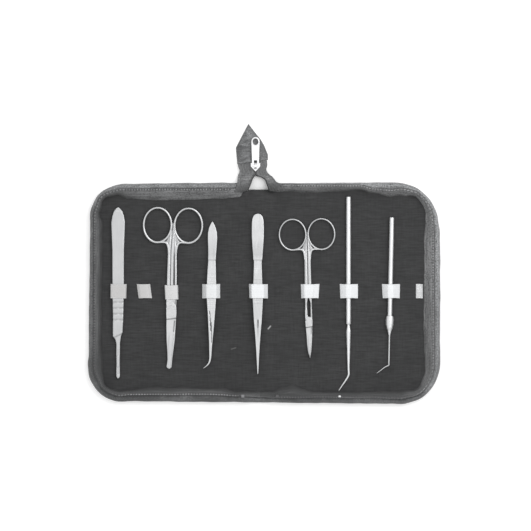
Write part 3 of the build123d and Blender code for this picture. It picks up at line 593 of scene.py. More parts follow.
def use_group(tree, name, **inputs):
    """Places a shared group and sets its inputs."""
    node = tree.add("ShaderNodeGroup", node_tree=bpy.data.node_groups[name])
    for key, value in inputs.items():
        tree.give(node.inputs[key.replace("_", " ")], value)
    return node.outputs


def grey(value, cool=0.0):
    """Neutral colour of that brightness, slightly cool if asked."""
    return (value * (1 - cool), value, value * (1 + cool), 1)


def leatherette_finish(name, tone, worn_and_lit, grain, rough, streaks):
    """Coated cloth with a pebbled grain, paler where rubbing and painted light mark it, and streaked along the rim."""
    tree, shader, place = new_finish(name)
    skin = use_group(tree, "Pebbled Grain", Vector=place, Scale=grain)
    rub, pale = tree.mark("rub"), grey(worn_and_lit, 0.02)
    dust_and_light = use_group(tree, "Rubbing, Dust and Painted Light", Vector=place, Colour=grey(tone, 0.03), Rubbed=pale, Rub=rub, Dust=0.3)
    streaked = use_group(
        tree, "Lengthwise Streaks", Vector=tree.add("ShaderNodeUVMap", uv_map="Surface").outputs[0],
        Colour=dust_and_light["Colour"], Pale=pale, Dark=grey(tone * 0.6), Amount=tree.times(rub, streaks),
    )["Colour"]
    matt = tree.math("MULTIPLY_ADD", dust_and_light["Mask"], 0.15, rough)
    feed(
        tree, shader, BaseColor=tree.mix(tree.times(skin["Crease"], 0.5), streaked, grey(tone * 0.5)),
        Normal=tree.bump(skin["Height"], 0.35, 0.00012),
        Roughness=tree.math("MULTIPLY_ADD", skin["Crease"], 0.12, matt),
    )


def cloth_finish(
    name, tone, worn_and_lit, warp, weft, rough=0.8, depth=0.0002, dust=0.25, thread=0.25, left_tone=None, shade=None
):
    """Woven cloth that follows the piece's own surface lengths.

    left_tone is the duller brightness it has towards the left end of the case. shade is the brightness
    it sinks to where the attribute "sunk" is 1; such cloth also has soft lengthwise streaks.
    """
    tree, shader, place = new_finish(name)
    uv = tree.add("ShaderNodeUVMap", uv_map="Surface").outputs[0]
    weave = use_group(tree, "Plain Weave", Vector=uv, Warp_Pitch=warp, Weft_Pitch=weft)
    # The paler colour marks rubbing and painted light where the piece says so.
    rub, pale = tree.mark("rub"), grey(worn_and_lit, 0.01)
    base = grey(tone, 0.02)
    if left_tone is not None:
        x = tree.add("ShaderNodeSeparateXYZ", place).outputs[0]
        base = tree.mix(tree.span(x, -0.085, -0.022), grey(left_tone, -0.01), base)
    colour = use_group(tree, "Rubbing, Dust and Painted Light", Vector=place, Colour=base, Rubbed=pale, Rub=rub, Dust=dust)["Colour"]
    if shade is not None:
        deep, amount = grey(shade, 0.01), tree.math("MULTIPLY_ADD", rub, 0.80, 0.35)
        streaks = use_group(
            tree, "Lengthwise Streaks", Vector=uv, Colour=colour, Pale=pale, Dark=deep, Amount=amount
        )
        colour = tree.mix(tree.mark("sunk"), streaks["Colour"], deep)
    low = tree.math("SUBTRACT", 1.0, weave["Height"])
    colour = tree.mix(tree.times(low, thread), colour, grey(tone * 0.45))
    feed(
        tree, shader, BaseColor=colour, Normal=tree.bump(weave["Height"], 0.5, depth), Roughness=rough,
        SheenWeight=0.08, SpecularIORLevel=0.25,
    )


# Small scuffs painted on the lining: left and lower end of each, how far it is turned, its half
# length and width, all in metres, and how much paler than the lining it is.
SCUFFS = (
    (0.0068, -0.0255, 0.85, 0.0020, 0.00045, 13.0),
    (-0.0193, -0.0408, 0.30, 0.0024, 0.0004, 3.0),
)


def scuff(tree, x, y, left, low, turn, length, width):
    """1 on a short soft-edged stroke and 0 off it, from the coordinates turned into its own frame."""
    east, north = tree.math("SUBTRACT", x, left), tree.math("SUBTRACT", y, low)
    c, s = np.cos(turn), np.sin(turn)
    along = tree.math("ABSOLUTE", tree.math("MULTIPLY_ADD", east, c, tree.times(north, s)))
    across = tree.math("ABSOLUTE", tree.math("MULTIPLY_ADD", north, c, tree.times(east, -s)))
    return tree.times(tree.span(along, length, length * 0.6), tree.span(across, width * 1.5, width * 0.5))


def lining_finish(look):
    """Smooth coated lining with fine crosswise threads under its skin."""
    tree, shader, place = new_finish("Lining")
    tone = look.lining_colour[1]
    thread = tree.noise(tree.scaled(place, (110.0, 900.0, 110.0)), 1.0, 3.0, 0.6)
    warp = tree.noise(tree.scaled(place, (800.0, 90.0, 90.0)), 1.0, 3.0, 0.6)
    base = (*look.lining_colour, 1)
    dust_and_light = use_group(tree, "Rubbing, Dust and Painted Light", Vector=place, Colour=base, Rubbed=grey(tone * 2.6), Rub=0.0, Dust=0.22)
    weave = tree.math("MULTIPLY_ADD", warp, 0.45, thread)
    colour = tree.mix(tree.span(weave, 0.55, 0.95, 0.0, 0.62), dust_and_light["Colour"], grey(tone * 0.30))
    x, y, _ = tree.add("ShaderNodeSeparateXYZ", place).outputs
    for *stroke, paler in SCUFFS:
        colour = tree.mix(scuff(tree, x, y, *stroke), colour, grey(tone * paler))
    feed(
        tree, shader, BaseColor=colour, Normal=tree.bump(weave, 0.3, 0.0001),
        Roughness=tree.math("MULTIPLY_ADD", thread, 0.15, 0.5), SpecularIORLevel=0.3,
    )


def steel_finish(name, colour, rough, depth):
    """Satin stainless steel, brushed along the instrument and duller where the attribute "sunk" says: painted shade and
    reflection, and real scratches on the plate.
    """
    tree, shader, place = new_finish(name)
    plain = tree.mix(tree.mark("sunk"), (*colour, 1), (*(0.08 * part for part in colour), 1))
    brushed = use_group(tree, "Satin Brushing", Vector=place, Colour=plain, Depth=depth)
    feed(
        tree, shader, BaseColor=brushed["Colour"], Normal=tree.bump(brushed["Height"], 0.12, 0.00003), Metallic=1.0,
        Roughness=tree.math("ADD", brushed["Roughness"], rough),
    )


def set_finish(piece, name):
    """Gives a piece one finish by its name."""
    piece.data.materials.clear()
    piece.data.materials.append(bpy.data.materials[name])


# ---------------------------------------------------------------- settings
class InstrumentCaseSettings(bpy.types.PropertyGroup):
    """Sizes and colours of the case's looks"""

    ridge_height: bpy.props.FloatProperty(
        name="Ridge height", description="Top edge of the zip tape above the table", default=0.0100, min=0.006,
        max=0.0108, unit="LENGTH", precision=4,
    )
    rim_unevenness: bpy.props.FloatProperty(
        name="Rim unevenness", description="How far the soft rim wanders in and out", default=0.00035, min=0.0,
        max=0.001, unit="LENGTH", precision=5,
    )
    fold_groove: bpy.props.FloatProperty(
        name="Fold groove", description="Depth of the lining's crease along each fold", default=0.00016, min=0.0,
        max=0.001, unit="LENGTH", precision=5,
    )
    elastic_thickness: bpy.props.FloatProperty(
        name="Elastic thickness", description="Thickness of the woven elastic", default=0.0007, min=0.0003, max=0.0015,
        unit="LENGTH", precision=5,
    )
    lining_colour: bpy.props.FloatVectorProperty(
        name="Lining", description="Colour of the coated lining", subtype="COLOR", size=3, min=0, max=1,
        default=(0.0265, 0.0270, 0.0280),
    )
    leatherette_tone: bpy.props.FloatProperty(
        name="Leatherette", description="Brightness of the grained cover", default=0.05, min=0.0, max=1.0,
        subtype="FACTOR",
    )
    tape_tone: bpy.props.FloatProperty(
        name="Zip tape", description="Brightness of the woven zip tape", default=0.075, min=0.0, max=1.0,
        subtype="FACTOR",
    )
    elastic_tone: bpy.props.FloatProperty(
        name="Elastic", description="Brightness of the woven elastic", default=0.86, min=0.0, max=1.0, subtype="FACTOR",
    )
    steel_colour: bpy.props.FloatVectorProperty(
        name="Steel", description="Colour of the satin instruments", subtype="COLOR", size=3, min=0, max=1,
        default=(0.57, 0.575, 0.58),
    )
    steel_roughness: bpy.props.FloatProperty(
        name="Steel roughness", description="Roughness of the satin instruments", default=0.33, min=0.05, max=1.0,
        subtype="FACTOR",
    )


class InstrumentCaseStage(bpy.types.PropertyGroup):
    """Camera, lamps and floor"""

    camera_height: bpy.props.FloatProperty(
        name="Camera height", description="Height of the camera over the table", default=3.0, min=0.5, max=10.0,
        unit="LENGTH",
    )
    view_width: bpy.props.FloatProperty(
        name="View width", description="Width of the table that the picture shows", default=0.3876, min=0.1, max=2.0,
        unit="LENGTH",
    )
    view_middle: bpy.props.FloatVectorProperty(
        name="View middle", description="Point of the table in the middle of the picture",
        default=(0.0040, 0.0197), size=2, subtype="XYZ", unit="LENGTH",
    )
    key_power: bpy.props.FloatProperty(
        name="Main lamp", description="Power of the large soft lamp", default=5.2, min=0.0, max=200.0, unit="POWER",
    )
    room_light: bpy.props.FloatProperty(
        name="Room light", description="Strength of the even light from all round", default=0.78, min=0.0, max=2.0,
    )


# ---------------------------------------------------------------- stage
def seen_rays(tree):
    """1 for rays that see a surface, straight, mirrored or through glass, and 0 for those that light it."""
    rays = tree.add("ShaderNodeLightPath").outputs
    seen = tree.math("ADD", rays["Is Camera Ray"], rays["Is Glossy Ray"], clamp=True)
    return tree.math("ADD", seen, rays["Is Transmission Ray"], clamp=True)


class OBJECT_OT_case_stage(bpy.types.Operator):
    """Camera straight overhead, soft lamps, a white table and the finishes"""

    bl_idname = "object.case_stage"
    bl_label = "Stage and finishes"
    bl_options = {"REGISTER", "UNDO"}

    SENSOR, FAR = 36.0, 20  # width of the camera's sensor in millimetres, and how far it sees in metres
    # name, place and side in metres, share of the main lamp's power
    LAMPS = (("Main lamp", (0.50, 0.46, 0.86), 0.7, 1.0), ("Fill lamp", (-0.55, 0.15, 1.45), 1.4, 0.42))
    TABLE_HALF, TABLE_TOP = 3000.0, -0.05  # half the table's side, and its height just under the case
    TABLE_GLOW = 0.36
    TAIL_GAP = (-3.0, 79.5)  # middle of the gap in the tail, where the table's glow is taken away, a painted shade, so the case's own shadow shows there
    SHADE = (0.009, 0.013)  # distances from there, in metres, at which the glow begins and is full
    # name, brightness and roughness against the instruments' settings, depth of the brushing
    STEELS = (("Satin steel", 1.0, 0.0, 0.3), ("Matt steel", 0.88, 0.10, 0.3), ("Bright steel", 1.27, 0.14, 0.15))
    # name, colour, roughness, depth of the brushing
    METALS = (
        ("Bright nickel", (0.80, 0.80, 0.81), 0.24, 0.1), ("Dull teeth", (0.22, 0.22, 0.225), 0.40, 0.4),
        ("Worn teeth", (0.165, 0.165, 0.168), 0.42, 0.4), ("Dark teeth", (0.11, 0.11, 0.112), 0.45, 0.4),
    )

    def execute(self, context):
        scene = context.scene
        scene.view_settings.view_transform = "Standard"
        self.camera(scene)
        self.lamps(scene)
        self.room(scene)
        self.table()
        make_groups()
        self.finishes(scene.instrument_case)
        return {"FINISHED"}

    def camera(self, scene):
        """Camera that looks straight down, with a lens that fits the width of the view."""
        stage = scene.instrument_case_stage
        eye = bpy.data.cameras.new("Overhead")
        eye.sensor_width, eye.lens = self.SENSOR, self.SENSOR * stage.camera_height / stage.view_width
        eye.clip_end = self.FAR
        scene.camera = new_object("Overhead", eye)
        scene.camera.location = (*stage.view_middle, stage.camera_height)

    def lamps(self, scene):
        """Soft square lamps that face the middle of the case."""
        for name, place, size, share in self.LAMPS:
            lamp = bpy.data.lights.new(name, "AREA")
            lamp.size, lamp.energy = size, scene.instrument_case_stage.key_power * share
            holder = new_object(name, lamp)
            holder.location = place
            holder.rotation_euler = (Vector((0, 0, 0)) - Vector(place)).to_track_quat("-Z", "Y").to_euler()
            holder.visible_camera = False

    def room(self, scene):
        """Room that looks white and lights the case a little less brightly than that."""
        world = bpy.data.worlds.new("White room")
        tree, light = emptied(world), scene.instrument_case_stage.room_light
        strength = tree.math("MULTIPLY_ADD", seen_rays(tree), 1.0 - light, light)
        tree.add("ShaderNodeOutputWorld", tree.add("ShaderNodeBackground", (1, 1, 1, 1), strength).outputs[0])
        scene.world = world

    def table(self):
        """Square white table: matt, with a glow to the eye but for a spot in the tail's gap where the glow is taken
        away, a painted shade, and clear from below.
        """
        corners = np.array([(-1, -1), (1, -1), (1, 1), (-1, 1)]) * self.TABLE_HALF
        floor = finish_mesh("table", raised(corners, self.TABLE_TOP), [[0, 1, 2, 3]])
        material = bpy.data.materials.new("White table")
        tree = emptied(material)
        place, middle = tree.add("ShaderNodeTexCoord").outputs["Object"], (*self.TAIL_GAP, self.TABLE_TOP)
        away = tree.add("ShaderNodeVectorMath", place, tuple(x * MM for x in middle), operation="DISTANCE")
        open_table = tree.span(away.outputs["Value"], *self.SHADE)
        glow = tree.add(
            "ShaderNodeEmission", (1, 1, 1, 1), tree.times(tree.times(seen_rays(tree), self.TABLE_GLOW), open_table)
        )
        matt = tree.add("ShaderNodeBsdfDiffuse", (0.80, 0.80, 0.80, 1))
        lit = tree.add("ShaderNodeAddShader", glow.outputs[0], matt.outputs[0])
        below, clear = tree.add("ShaderNodeNewGeometry").outputs["Backfacing"], tree.add("ShaderNodeBsdfTransparent")
        both = tree.add("ShaderNodeMixShader", below, lit.outputs[0], clear.outputs[0])
        tree.add("ShaderNodeOutputMaterial", both.outputs[0])
        floor.data.materials.append(material)

    def finishes(self, look):
        """Every finish, from the settings of the case."""
        leather, tape, elastic = look.leatherette_tone, look.tape_tone, look.elastic_tone
        leatherette_finish("Leatherette", leather, leather * 8.3, 850.0, 0.46, 0.8)
        leatherette_finish("Tab leatherette", leather * 2.0, leather * 5.2, 900.0, 0.42, 0.0)
        cloth_finish("Zip tape", tape, tape * 5.4, 0.55, 1.1, dust=0.12, shade=0.030)
        cloth_finish(
            "Elastic", elastic, elastic * 0.72, 0.9, 1.3, rough=0.85, depth=0.00018, dust=0.08, thread=0.16,
            left_tone=elastic * 0.635,
        )
        cloth_finish("Board", 0.2, 0.3, 0.3, 0.3, thread=0.1)
        lining_finish(look)
        for name, shade, rougher, depth in self.STEELS:
            colour = tuple(shade * part for part in look.steel_colour)
            steel_finish(name, colour, look.steel_roughness + rougher, depth)
        for name, colour, rough, depth in self.METALS:
            steel_finish(name, colour, rough, depth)


# ---------------------------------------------------------------- soft pieces
class OBJECT_OT_case_shell(bpy.types.Operator):
    """Leatherette cover: flat underneath, curled up round the padded rim to the zip"""

    bl_idname = "object.case_shell"
    bl_label = "Leatherette shell"
    bl_options = {"REGISTER", "UNDO"}

    SAMPLES = 64  # points up the wall
    WALL_FOOT = 6.5  # how far in from the wall's outside the flat underside ends

    def execute(self, context):
        for leaf in LEAVES:
            self.one_leaf(leaf)
        return {"FINISHED"}

    def one_leaf(self, leaf):
        """Half of the cover.

        Its wall is a profile carried round the leaf: it leaves the flat underside, bulges to the
        wall's outside at two fifths of the height, leans back to the ridge and tucks in under the
        zip tape. The underside runs from the wall's foot to the leaf's middle line.
        """
        side = LEAVES[leaf]
        s = rim_steps(RIM_START[leaf])
        foot, ridge, outside, height = rim_shape(leaf, s)
        lean, share = outside - ridge, height / (bpy.context.scene.instrument_case.ridge_height / MM)
        rows, place = smooth_profile(
            self.SAMPLES, (outside - self.WALL_FOOT, 0.0), (outside - 3.4, 0.05), (outside - 1.5, 0.75 * share),
            (outside - 0.35, 2.3 * share), (outside, 4.2 * share), (outside - 0.14 * lean, 6.1 * share),
            (outside - 0.40 * lean, 7.7 * share), (outside - 0.70 * lean, 8.5 * share),
            (ridge + 0.75, height - 1.15), (ridge + 0.42, height - 1.55),
        )
        rows[..., 0] += 0.24 * ripple(s[:, None] + 0 * place, 30 * place, 17, 40 + side) * np.sin(np.pi * place)
        deep = eased(s, (225, 262), (0.40, 1.0))[:, None]
        valley, seam = deep * hump(place - 0.81, 0.035), (0.4 + 0.6 * deep) * hump(place - 0.62, 0.016)
        rows[..., 1] -= 0.45 * valley + 0.22 * seam
        wall_points = carried(leaf, s, rows)
        wall = sheet_mesh("wall", wall_points, facing=(side, 0, 0))
        # The wall is paler on its outer crown, partly from rubbing and partly a painted highlight where the lamp falls
        # on it, and less pale in the groove and the seam, a painted shade.
        crown = hump(place - 0.64, 0.14) * (place > 0.36)
        rubbing_and_light = rim_wear_and_light(leaf, s)[:, None] * (0.12 + 0.95 * crown) * (1 - 0.7 * np.maximum(valley, seam))
        set_mark(wall.data, "rub", np.clip(rubbing_and_light, 0, 1))

        whole = rim_steps(0.0)
        _, _, reach, _ = rim_shape(leaf, whole)
        edge = np.where(whole < s[0], SPINE_EDGE - HALF_Y, reach - self.WALL_FOOT)
        flat = filled(carried(leaf, whole, profile((edge, 0.0)))[:, 0])
        flat[..., 2] = 0.0
        under = sheet_mesh("under", flat, facing=(0, 0, -1))

        first = carried(leaf, s[:1], profile((foot[:1] + 0.6, 0.3), (ridge[:1], height[:1] - 1.0)))[0]
        step = np.linspace(0, 1, 8)[:, None, None]
        cap = wall_points[0][None] * (1 - step) + through(first, self.SAMPLES)[None] * step
        end = sheet_mesh("end", cap, facing=(-side, 0, 0))
        shell = join(f"{leaf}_shell", wall, under, end, weld=True)
        set_finish(shell, "Leatherette")
        solidify(shell, THICKNESS["cover"])
        bend_at_fold(shell, leaf)
        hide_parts(f"{leaf}_cover", *(["spine_cover"] if leaf == "left" else []))


class OBJECT_OT_case_lining(bpy.types.Operator):
    """Lining across the boards, creased along the two folds"""

    bl_idname = "object.case_lining"
    bl_label = "Lining"
    bl_options = {"REGISTER", "UNDO"}

    def execute(self, context):
        for leaf in LEAVES:
            s = rim_steps(0.0)
            foot, _, _, _ = rim_shape(leaf, s)
            leaf_share = eased(s, (8.0, 12.0), (0.0, 1.0))  # 0 over the spine, where the edge is straight
            edge = eased(s, (8.0, 12.0), (4.1, 0.0)) + leaf_share * (foot + 1.2)
            points = filled(carried(leaf, s, profile((edge, 0.0)))[:, 0])
            x, y = points[..., 0], points[..., 1]
            groove = context.scene.instrument_case.fold_groove / MM * hump(np.abs(x) - FOLD, 1.9)
            drop = eased(np.abs(x), (7, 12), (1.0, 0.0)) * eased(y, (70.3, 74.6), (0.0, 1.5))
            points[..., 2] = LINING_TOP + 0.10 * ripple(x, y, 34, 5) + 0.03 * ripple(x, y, 9, 6) - groove - drop
            lining = sheet_mesh(f"{leaf}_lining", points, facing=(0, 0, 1))
            set_finish(lining, "Lining")
            solidify(lining, THICKNESS["lining"])
            bend_at_fold(lining, leaf)
            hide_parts(f"{leaf}_liner", *(["spine_liner"] if leaf == "left" else []))
        return {"FINISHED"}


class OBJECT_OT_case_zip(bpy.types.Operator):
    """Zip tape round the rim, its two chains of teeth and one tooth of bright steel, a painted glint"""

    bl_idname = "object.case_zip"
    bl_label = "Zip tape and teeth"
    bl_options = {"REGISTER", "UNDO"}

    PITCH = 2.0
    # Section of a tooth from foot to foot over its top: outward, up, half length along the rim
    TOOTH = np.array([
        (-0.62, -0.7, 0.44), (-0.62, 0.12, 0.44), (-0.36, 0.42, 0.30), (0.36, 0.42, 0.30), (0.62, 0.12, 0.44),
        (0.62, -0.7, 0.44),
    ])
    BARE = 57.9  # how far before the rim's lower end the bright tooth lies, a painted glint

    def execute(self, context):
        for leaf in LEAVES:
            self.tape(leaf)
            self.teeth(leaf)
        self.bare_tooth()
        return {"FINISHED"}

    def tape(self, leaf):
        """Tape and its padding: a profile from a folded foot on the lining up to the ridge and down outside.

        Between foot and ridge it climbs in an S, which is full or slack as RIM_FILL says.
        """
        s = rim_steps(RIM_START[leaf])
        foot, ridge, _, height = rim_shape(leaf, s)
        wide, rise, floor, fill = ridge - foot, height - 3.4, LINING_TOP, rim_value(RIM_FILL, leaf, s)
        rows, place = smooth_profile(
            44, (foot + 1.0, floor - 0.5), (foot + 0.1, floor), (foot - 0.12, floor + 0.7 * fill),
            (foot + 0.2, floor + 1.4 * fill), (foot + 0.16 * wide, floor + 0.06 * rise + 1.3 * fill),
            (foot + 0.40 * wide, floor + 0.24 * rise + 1.9 * fill),
            (foot + 0.62 * wide, floor + 0.50 * rise + 1.5 * fill),
            (foot + 0.80 * wide, floor + 0.76 * rise + 0.5 * fill), (ridge - 0.62, height - 0.9),
            (ridge - 0.42, height - 0.25), (ridge - 0.2, height), (ridge + 0.2, height), (ridge + 0.42, height - 0.3),
            (ridge + 0.5, height - 1.0), (ridge + 0.5, height - 2.2),
        )
        slack = np.sin(np.pi * np.clip(place / 0.62, 0, 1)) ** 2
        down, seed = s[:, None], 60 + LEAVES[leaf]
        puff, pucker = ripple(down, 14 * place, 19, seed), ripple(down, 60 * place, 6, seed + 2)
        rows[..., 1] += slack * (0.35 * puff + 0.12 * pucker)
        rows[..., 1] += 0.07 * (np.sin(2 * np.pi * place * 9) * slack)
        points = carried(leaf, s, rows)
        tape = sheet_mesh(f"{leaf}_tape", points, facing=(0, 0, 1))
        climb = np.clip((points[..., 2] - floor) / (height[:, None] - floor), 0, 1)
        # Paler towards the ridge, a painted highlight over the rim's handling and painted light, with a painted
        # highlight line along the ridge of the left leaf's lower end.
        line = 0.9 * (leaf == "left") * eased(s, (250, 268, 335, 350), (0.0, 1.0, 1.0, 0.0))[:, None] * (climb > 0.97)
        set_mark(tape.data, "rub", np.clip(rim_wear_and_light(leaf, s)[:, None] * (0.45 + 0.75 * climb**3) + line, 0, 1))
        # Darker near the foot, where the tape meets the lining, and on the right leaf's lower end, which faces away
        # from the lamp: both painted shade.
        soft = 0.66 - 1.05 * fill[:, None]
        lower_shade = 0.35 * (leaf == "right") * eased(s, (240, 275), (0.0, 1.0))[:, None] * (climb < 0.95)
        set_mark(tape.data, "sunk", np.maximum(np.clip(1 - climb / soft, 0, 1) * 0.9 * (place < 0.8), lower_shade))
        set_finish(tape, "Zip tape")
        solidify(tape, THICKNESS["tape"])
        bend_at_fold(tape, leaf)
        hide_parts(f"{leaf}_zip_tape")

    def teeth(self, leaf):
        """Teeth at one pitch along the ridge, each a low wedge clamped over the tape's edge."""
        shift = 0.0 if leaf == "left" else self.PITCH / 2
        s = np.arange(22.0 + shift, RIM_LENGTH - 14, self.PITCH)
        _, ridge, _, height = rim_shape(leaf, s)
        places, outward = rim_line(LEAVES[leaf], s)
        along = np.stack([outward[:, 1], -outward[:, 0]], axis=1)
        out, up, half = self.TOOTH.T
        section = (places + outward * ridge[:, None])[:, None] + out[None, :, None] * outward[:, None]
        ends = [
            raised(section + way * half[None, :, None] * along[:, None], height[:, None] + up) for way in (-1, 1)
        ]
        vertices = np.stack(ends, axis=1).reshape(-1, 3)
        ring = np.arange(6)
        sides = np.stack([ring, (ring + 1) % 6, (ring + 1) % 6 + 6, ring + 6], axis=1)
        caps = np.array([[0, 1, 4, 5], [1, 2, 3, 4], [6, 11, 10, 7], [7, 10, 9, 8]])
        faces = np.concatenate([sides, caps])[None] + 12 * np.arange(len(s))[:, None, None]
        teeth = finish_mesh(f"{leaf}_teeth", vertices, faces.reshape(-1, 4), weld=True, sharp=30)
        # The right chain's teeth are a paler copy of the left's, a painted highlight on the side nearer the lamp.
        set_finish(teeth, "Worn teeth" if leaf == "right" else "Dark teeth")
        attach(teeth, f"{leaf}_leaf")
        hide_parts(f"{leaf}_zip_teeth")

    def bare_tooth(self):
        """One tooth of bright steel among the dark teeth, a painted glint: a low dome, (1.15 cos a sin b, 0.85 sin a
        sin b, 0.8 cos b).
        """
        s = np.array([RIM_LENGTH - self.BARE])
        _, ridge, _, height = rim_shape("right", s)
        places, outward = rim_line(1, s)
        x, y = (places + outward * (ridge[:, None] - 0.6))[0]
        a, b = np.linspace(0, 2 * np.pi, 20, endpoint=False)[None], np.linspace(0.02, np.pi - 0.02, 12)[:, None]
        plan = x + 1.15 * np.cos(a) * np.sin(b), y + 0.85 * np.sin(a) * np.sin(b)
        tooth = tube_mesh("right_glint_tooth", xyz(*plan, height[0] - 0.1 + 0.8 * np.cos(b)))
        set_finish(tooth, "Bright steel")
        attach(tooth, "right_leaf")


class OBJECT_OT_case_tail(bpy.types.Operator):
    """The zip's tail: both tapes from the rim into the stitched leatherette tab"""

    bl_idname = "object.case_tail"
    bl_label = "Zip tail and tab"
    bl_options = {"REGISTER", "UNDO"}

    # Each tape from the rim to the tab: its chain's side, its free edge, and the height of both
    LEFT_CHAIN = (
        (-11.4, 73.5), (-9.0, 75.3), (-7.3, 78.6), (-5.9, 82.6), (-4.6, 84.8), (-3.3, 86.2), (-3.3, 89.5),
        (-3.3, 94.0), (-3.5, 98.3),
    )
    LEFT_EDGE = (
        (-19.0, 73.0), (-17.6, 76.5), (-16.7, 79.5), (-16.5, 83.0), (-16.1, 85.2), (-14.9, 88.9), (-15.6, 90.8),
        (-16.2, 93.6), (-15.7, 98.3),
    )
    RIGHT_CHAIN = (
        (7.3, 73.9), (6.3, 75.9), (5.3, 79.0), (3.9, 82.3), (1.2, 84.2), (-2.6, 85.6), (-3.4, 89.0), (-3.4, 94.0),
        (-3.1, 98.3),
    )
    RIGHT_EDGE = (
        (18.0, 75.2), (15.4, 79.0), (12.2, 80.5), (9.2, 84.3), (7.2, 85.8), (5.4, 87.6), (4.6, 89.8), (5.3, 93.2),
        (4.7, 98.3),
    )
    HEIGHT = (5.2, 5.8, 4.6, 2.9, 2.4, 2.2, 2.0, 1.95, 1.95)
    SAMPLES = 60  # points along a tape
    HANG = np.array([[1.0, 0.72, 0.46, 0.2]])  # rows of the strip that hangs beside the teeth, from its lower edge up
    # The tab's two sides from its base to its point, at these shares of the way
    TAB_PLACES = (0, 0.16, 0.42, 0.60, 0.8, 0.93, 1.0)
    TAB_LEFT = (
        (-16.5, 93.6), (-17.0, 98.2), (-17.6, 105.7), (-14.9, 110.9), (-12.0, 116.4), (-9.9, 120.4), (-8.5, 122.9),
    )
    TAB_RIGHT = (
        (5.8, 96.8), (5.7, 100.7), (3.1, 107.2), (0.6, 111.5), (-3.8, 117.0), (-6.8, 120.9), (-8.2, 122.9),
    )

    def execute(self, context):
        self.tape("tail_left", self.LEFT_CHAIN, self.LEFT_EDGE, "tail_tape_left", (0.0130, 0.0265))
        self.tape("tail_right", self.RIGHT_CHAIN, self.RIGHT_EDGE, "tail_tape_right", (0.0100, 0.0287))
        self.tab()
        return {"FINISHED"}

    def tape(self, name, chain, edge, node, flat_size):
        """Tape between the chain's line and its outer edge, sinking from the rim to the slider.

        Rows run from the chain to the outer edge; short creases cross it where it bends out of the
        rim, and a strip hangs down beside the teeth.
        """
        inner, outer = through(chain, self.SAMPLES), through(edge, self.SAMPLES)
        height = through(np.array(self.HEIGHT)[:, None], self.SAMPLES)
        along, share = np.linspace(0, 1, self.SAMPLES)[:, None], np.linspace(0, 1, 16)[None, :]
        flat = inner[:, None] * (1 - share[..., None]) + outer[:, None] * share[..., None]
        crease = hump(along - 0.40, 0.13) * np.sin(2 * np.pi * (along * 11 + 0.25 * np.sin(3 * share)))
        slack = 0.30 * ripple(flat[..., 0], flat[..., 1], 8, 21) * np.sin(np.pi * np.clip(share + 0.1, 0, 1))
        calm = eased(along, (0.0, 0.6, 0.75), (1.0, 1.0, 0.15))
        points = raised(flat, height + calm * (0.28 * crease * np.sin(np.pi * share) + slack))
        open_share = eased(inner[:, 1], (84.0, 87.0), (1.0, 0.0))[:, None]  # 0 where the slider holds the tapes
        skirt = np.repeat(points[:, :1], 4, axis=1)
        skirt[..., 2] -= np.maximum(open_share * (points[:, :1, 2] - 0.7), 0.15) * self.HANG
        skirt[..., 0] -= np.sign(outer[:, 0] - inner[:, 0])[:, None] * 0.35 * self.HANG
        tape = sheet_mesh(name, np.concatenate([skirt, points], axis=1), facing=(0, 0, 1))
        # Paler all over and more on the crease crests, partly from rubbing and partly a painted highlight on the
        # crests; darker on the hanging strip, beside the chain and at the base by the rim, all painted shade.
        strip = np.ones((self.SAMPLES, 4))
        rubbing_and_light = 0.25 + 0.36 * np.clip(crease, 0, 1) + 0 * share
        base = eased(along, (0.0, 0.13, 0.36), (0.7, 0.6, 0.0)) * (1 - 0.6 * share**2)
        shaded = np.maximum(np.clip(1 - share / 0.16, 0, 1) * 0.8, base)
        set_mark(tape.data, "rub", np.concatenate([0 * strip, rubbing_and_light], axis=1))
        set_mark(tape.data, "sunk", np.concatenate([strip * 0.9, shaded], axis=1))
        set_finish(tape, "Zip tape")
        solidify(tape, THICKNESS["tail"], offset=0.0)
        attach(tape, "spine")
        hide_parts(node)

    def tab(self):
        """Tab of doubled leatherette: straight-sided and pointed, crumpled, with a folded base.

        A ring goes round the tab at each distance from its base: flat below, crowned above, where
        sharp creases cross each other and a roll of the folded edge stands up along the base.
        """
        t = np.concatenate([np.linspace(0, 0.06, 7), np.linspace(0.07, 1, 64)])
        left, right = (
            np.stack([np.interp(t, self.TAB_PLACES, axis) for axis in zip(*edge)], axis=1)[:, None]
            for edge in (self.TAB_LEFT, self.TAB_RIGHT)
        )
        share = np.linspace(0, 1, 34)
        flat = left * (1 - share[None, :, None]) + right * share[None, :, None]
        x, y = flat[..., 0], flat[..., 1]
        crown = np.sin(np.pi * share)[None] ** 0.35 * np.clip((1 - t) * 9, 0, 1)[:, None] ** 0.5
        folds = np.maximum(1 - np.abs(ripple(x, y, 9, 71)) * 2.6, 1 - np.abs(ripple(x, y, 13, 77)) * 3.2)
        bed = hump(x + 3.3, 4.4, 4)  # flat under the puller
        roll = hump(t - 0.025, 0.022)[:, None]
        crumple = 0.95 * np.clip(folds, -0.6, 1) * (1 - 0.85 * bed)
        z = 0.6 + crown * (2.15 + crumple + 0.3 * ripple(x, y, 5, 72) * (1 - bed))
        z = np.minimum(z + roll * (0.75 - 0.6 * bed), 3.55 + 1.2 * (1 - bed))
        below = raised(flat[:, 1:-1][:, ::-2], 0.35)
        tab = tube_mesh("tab", np.concatenate([raised(flat, z), below], axis=1))
        x, y, z = np.array([v.co for v in tab.data.vertices]).T / MM
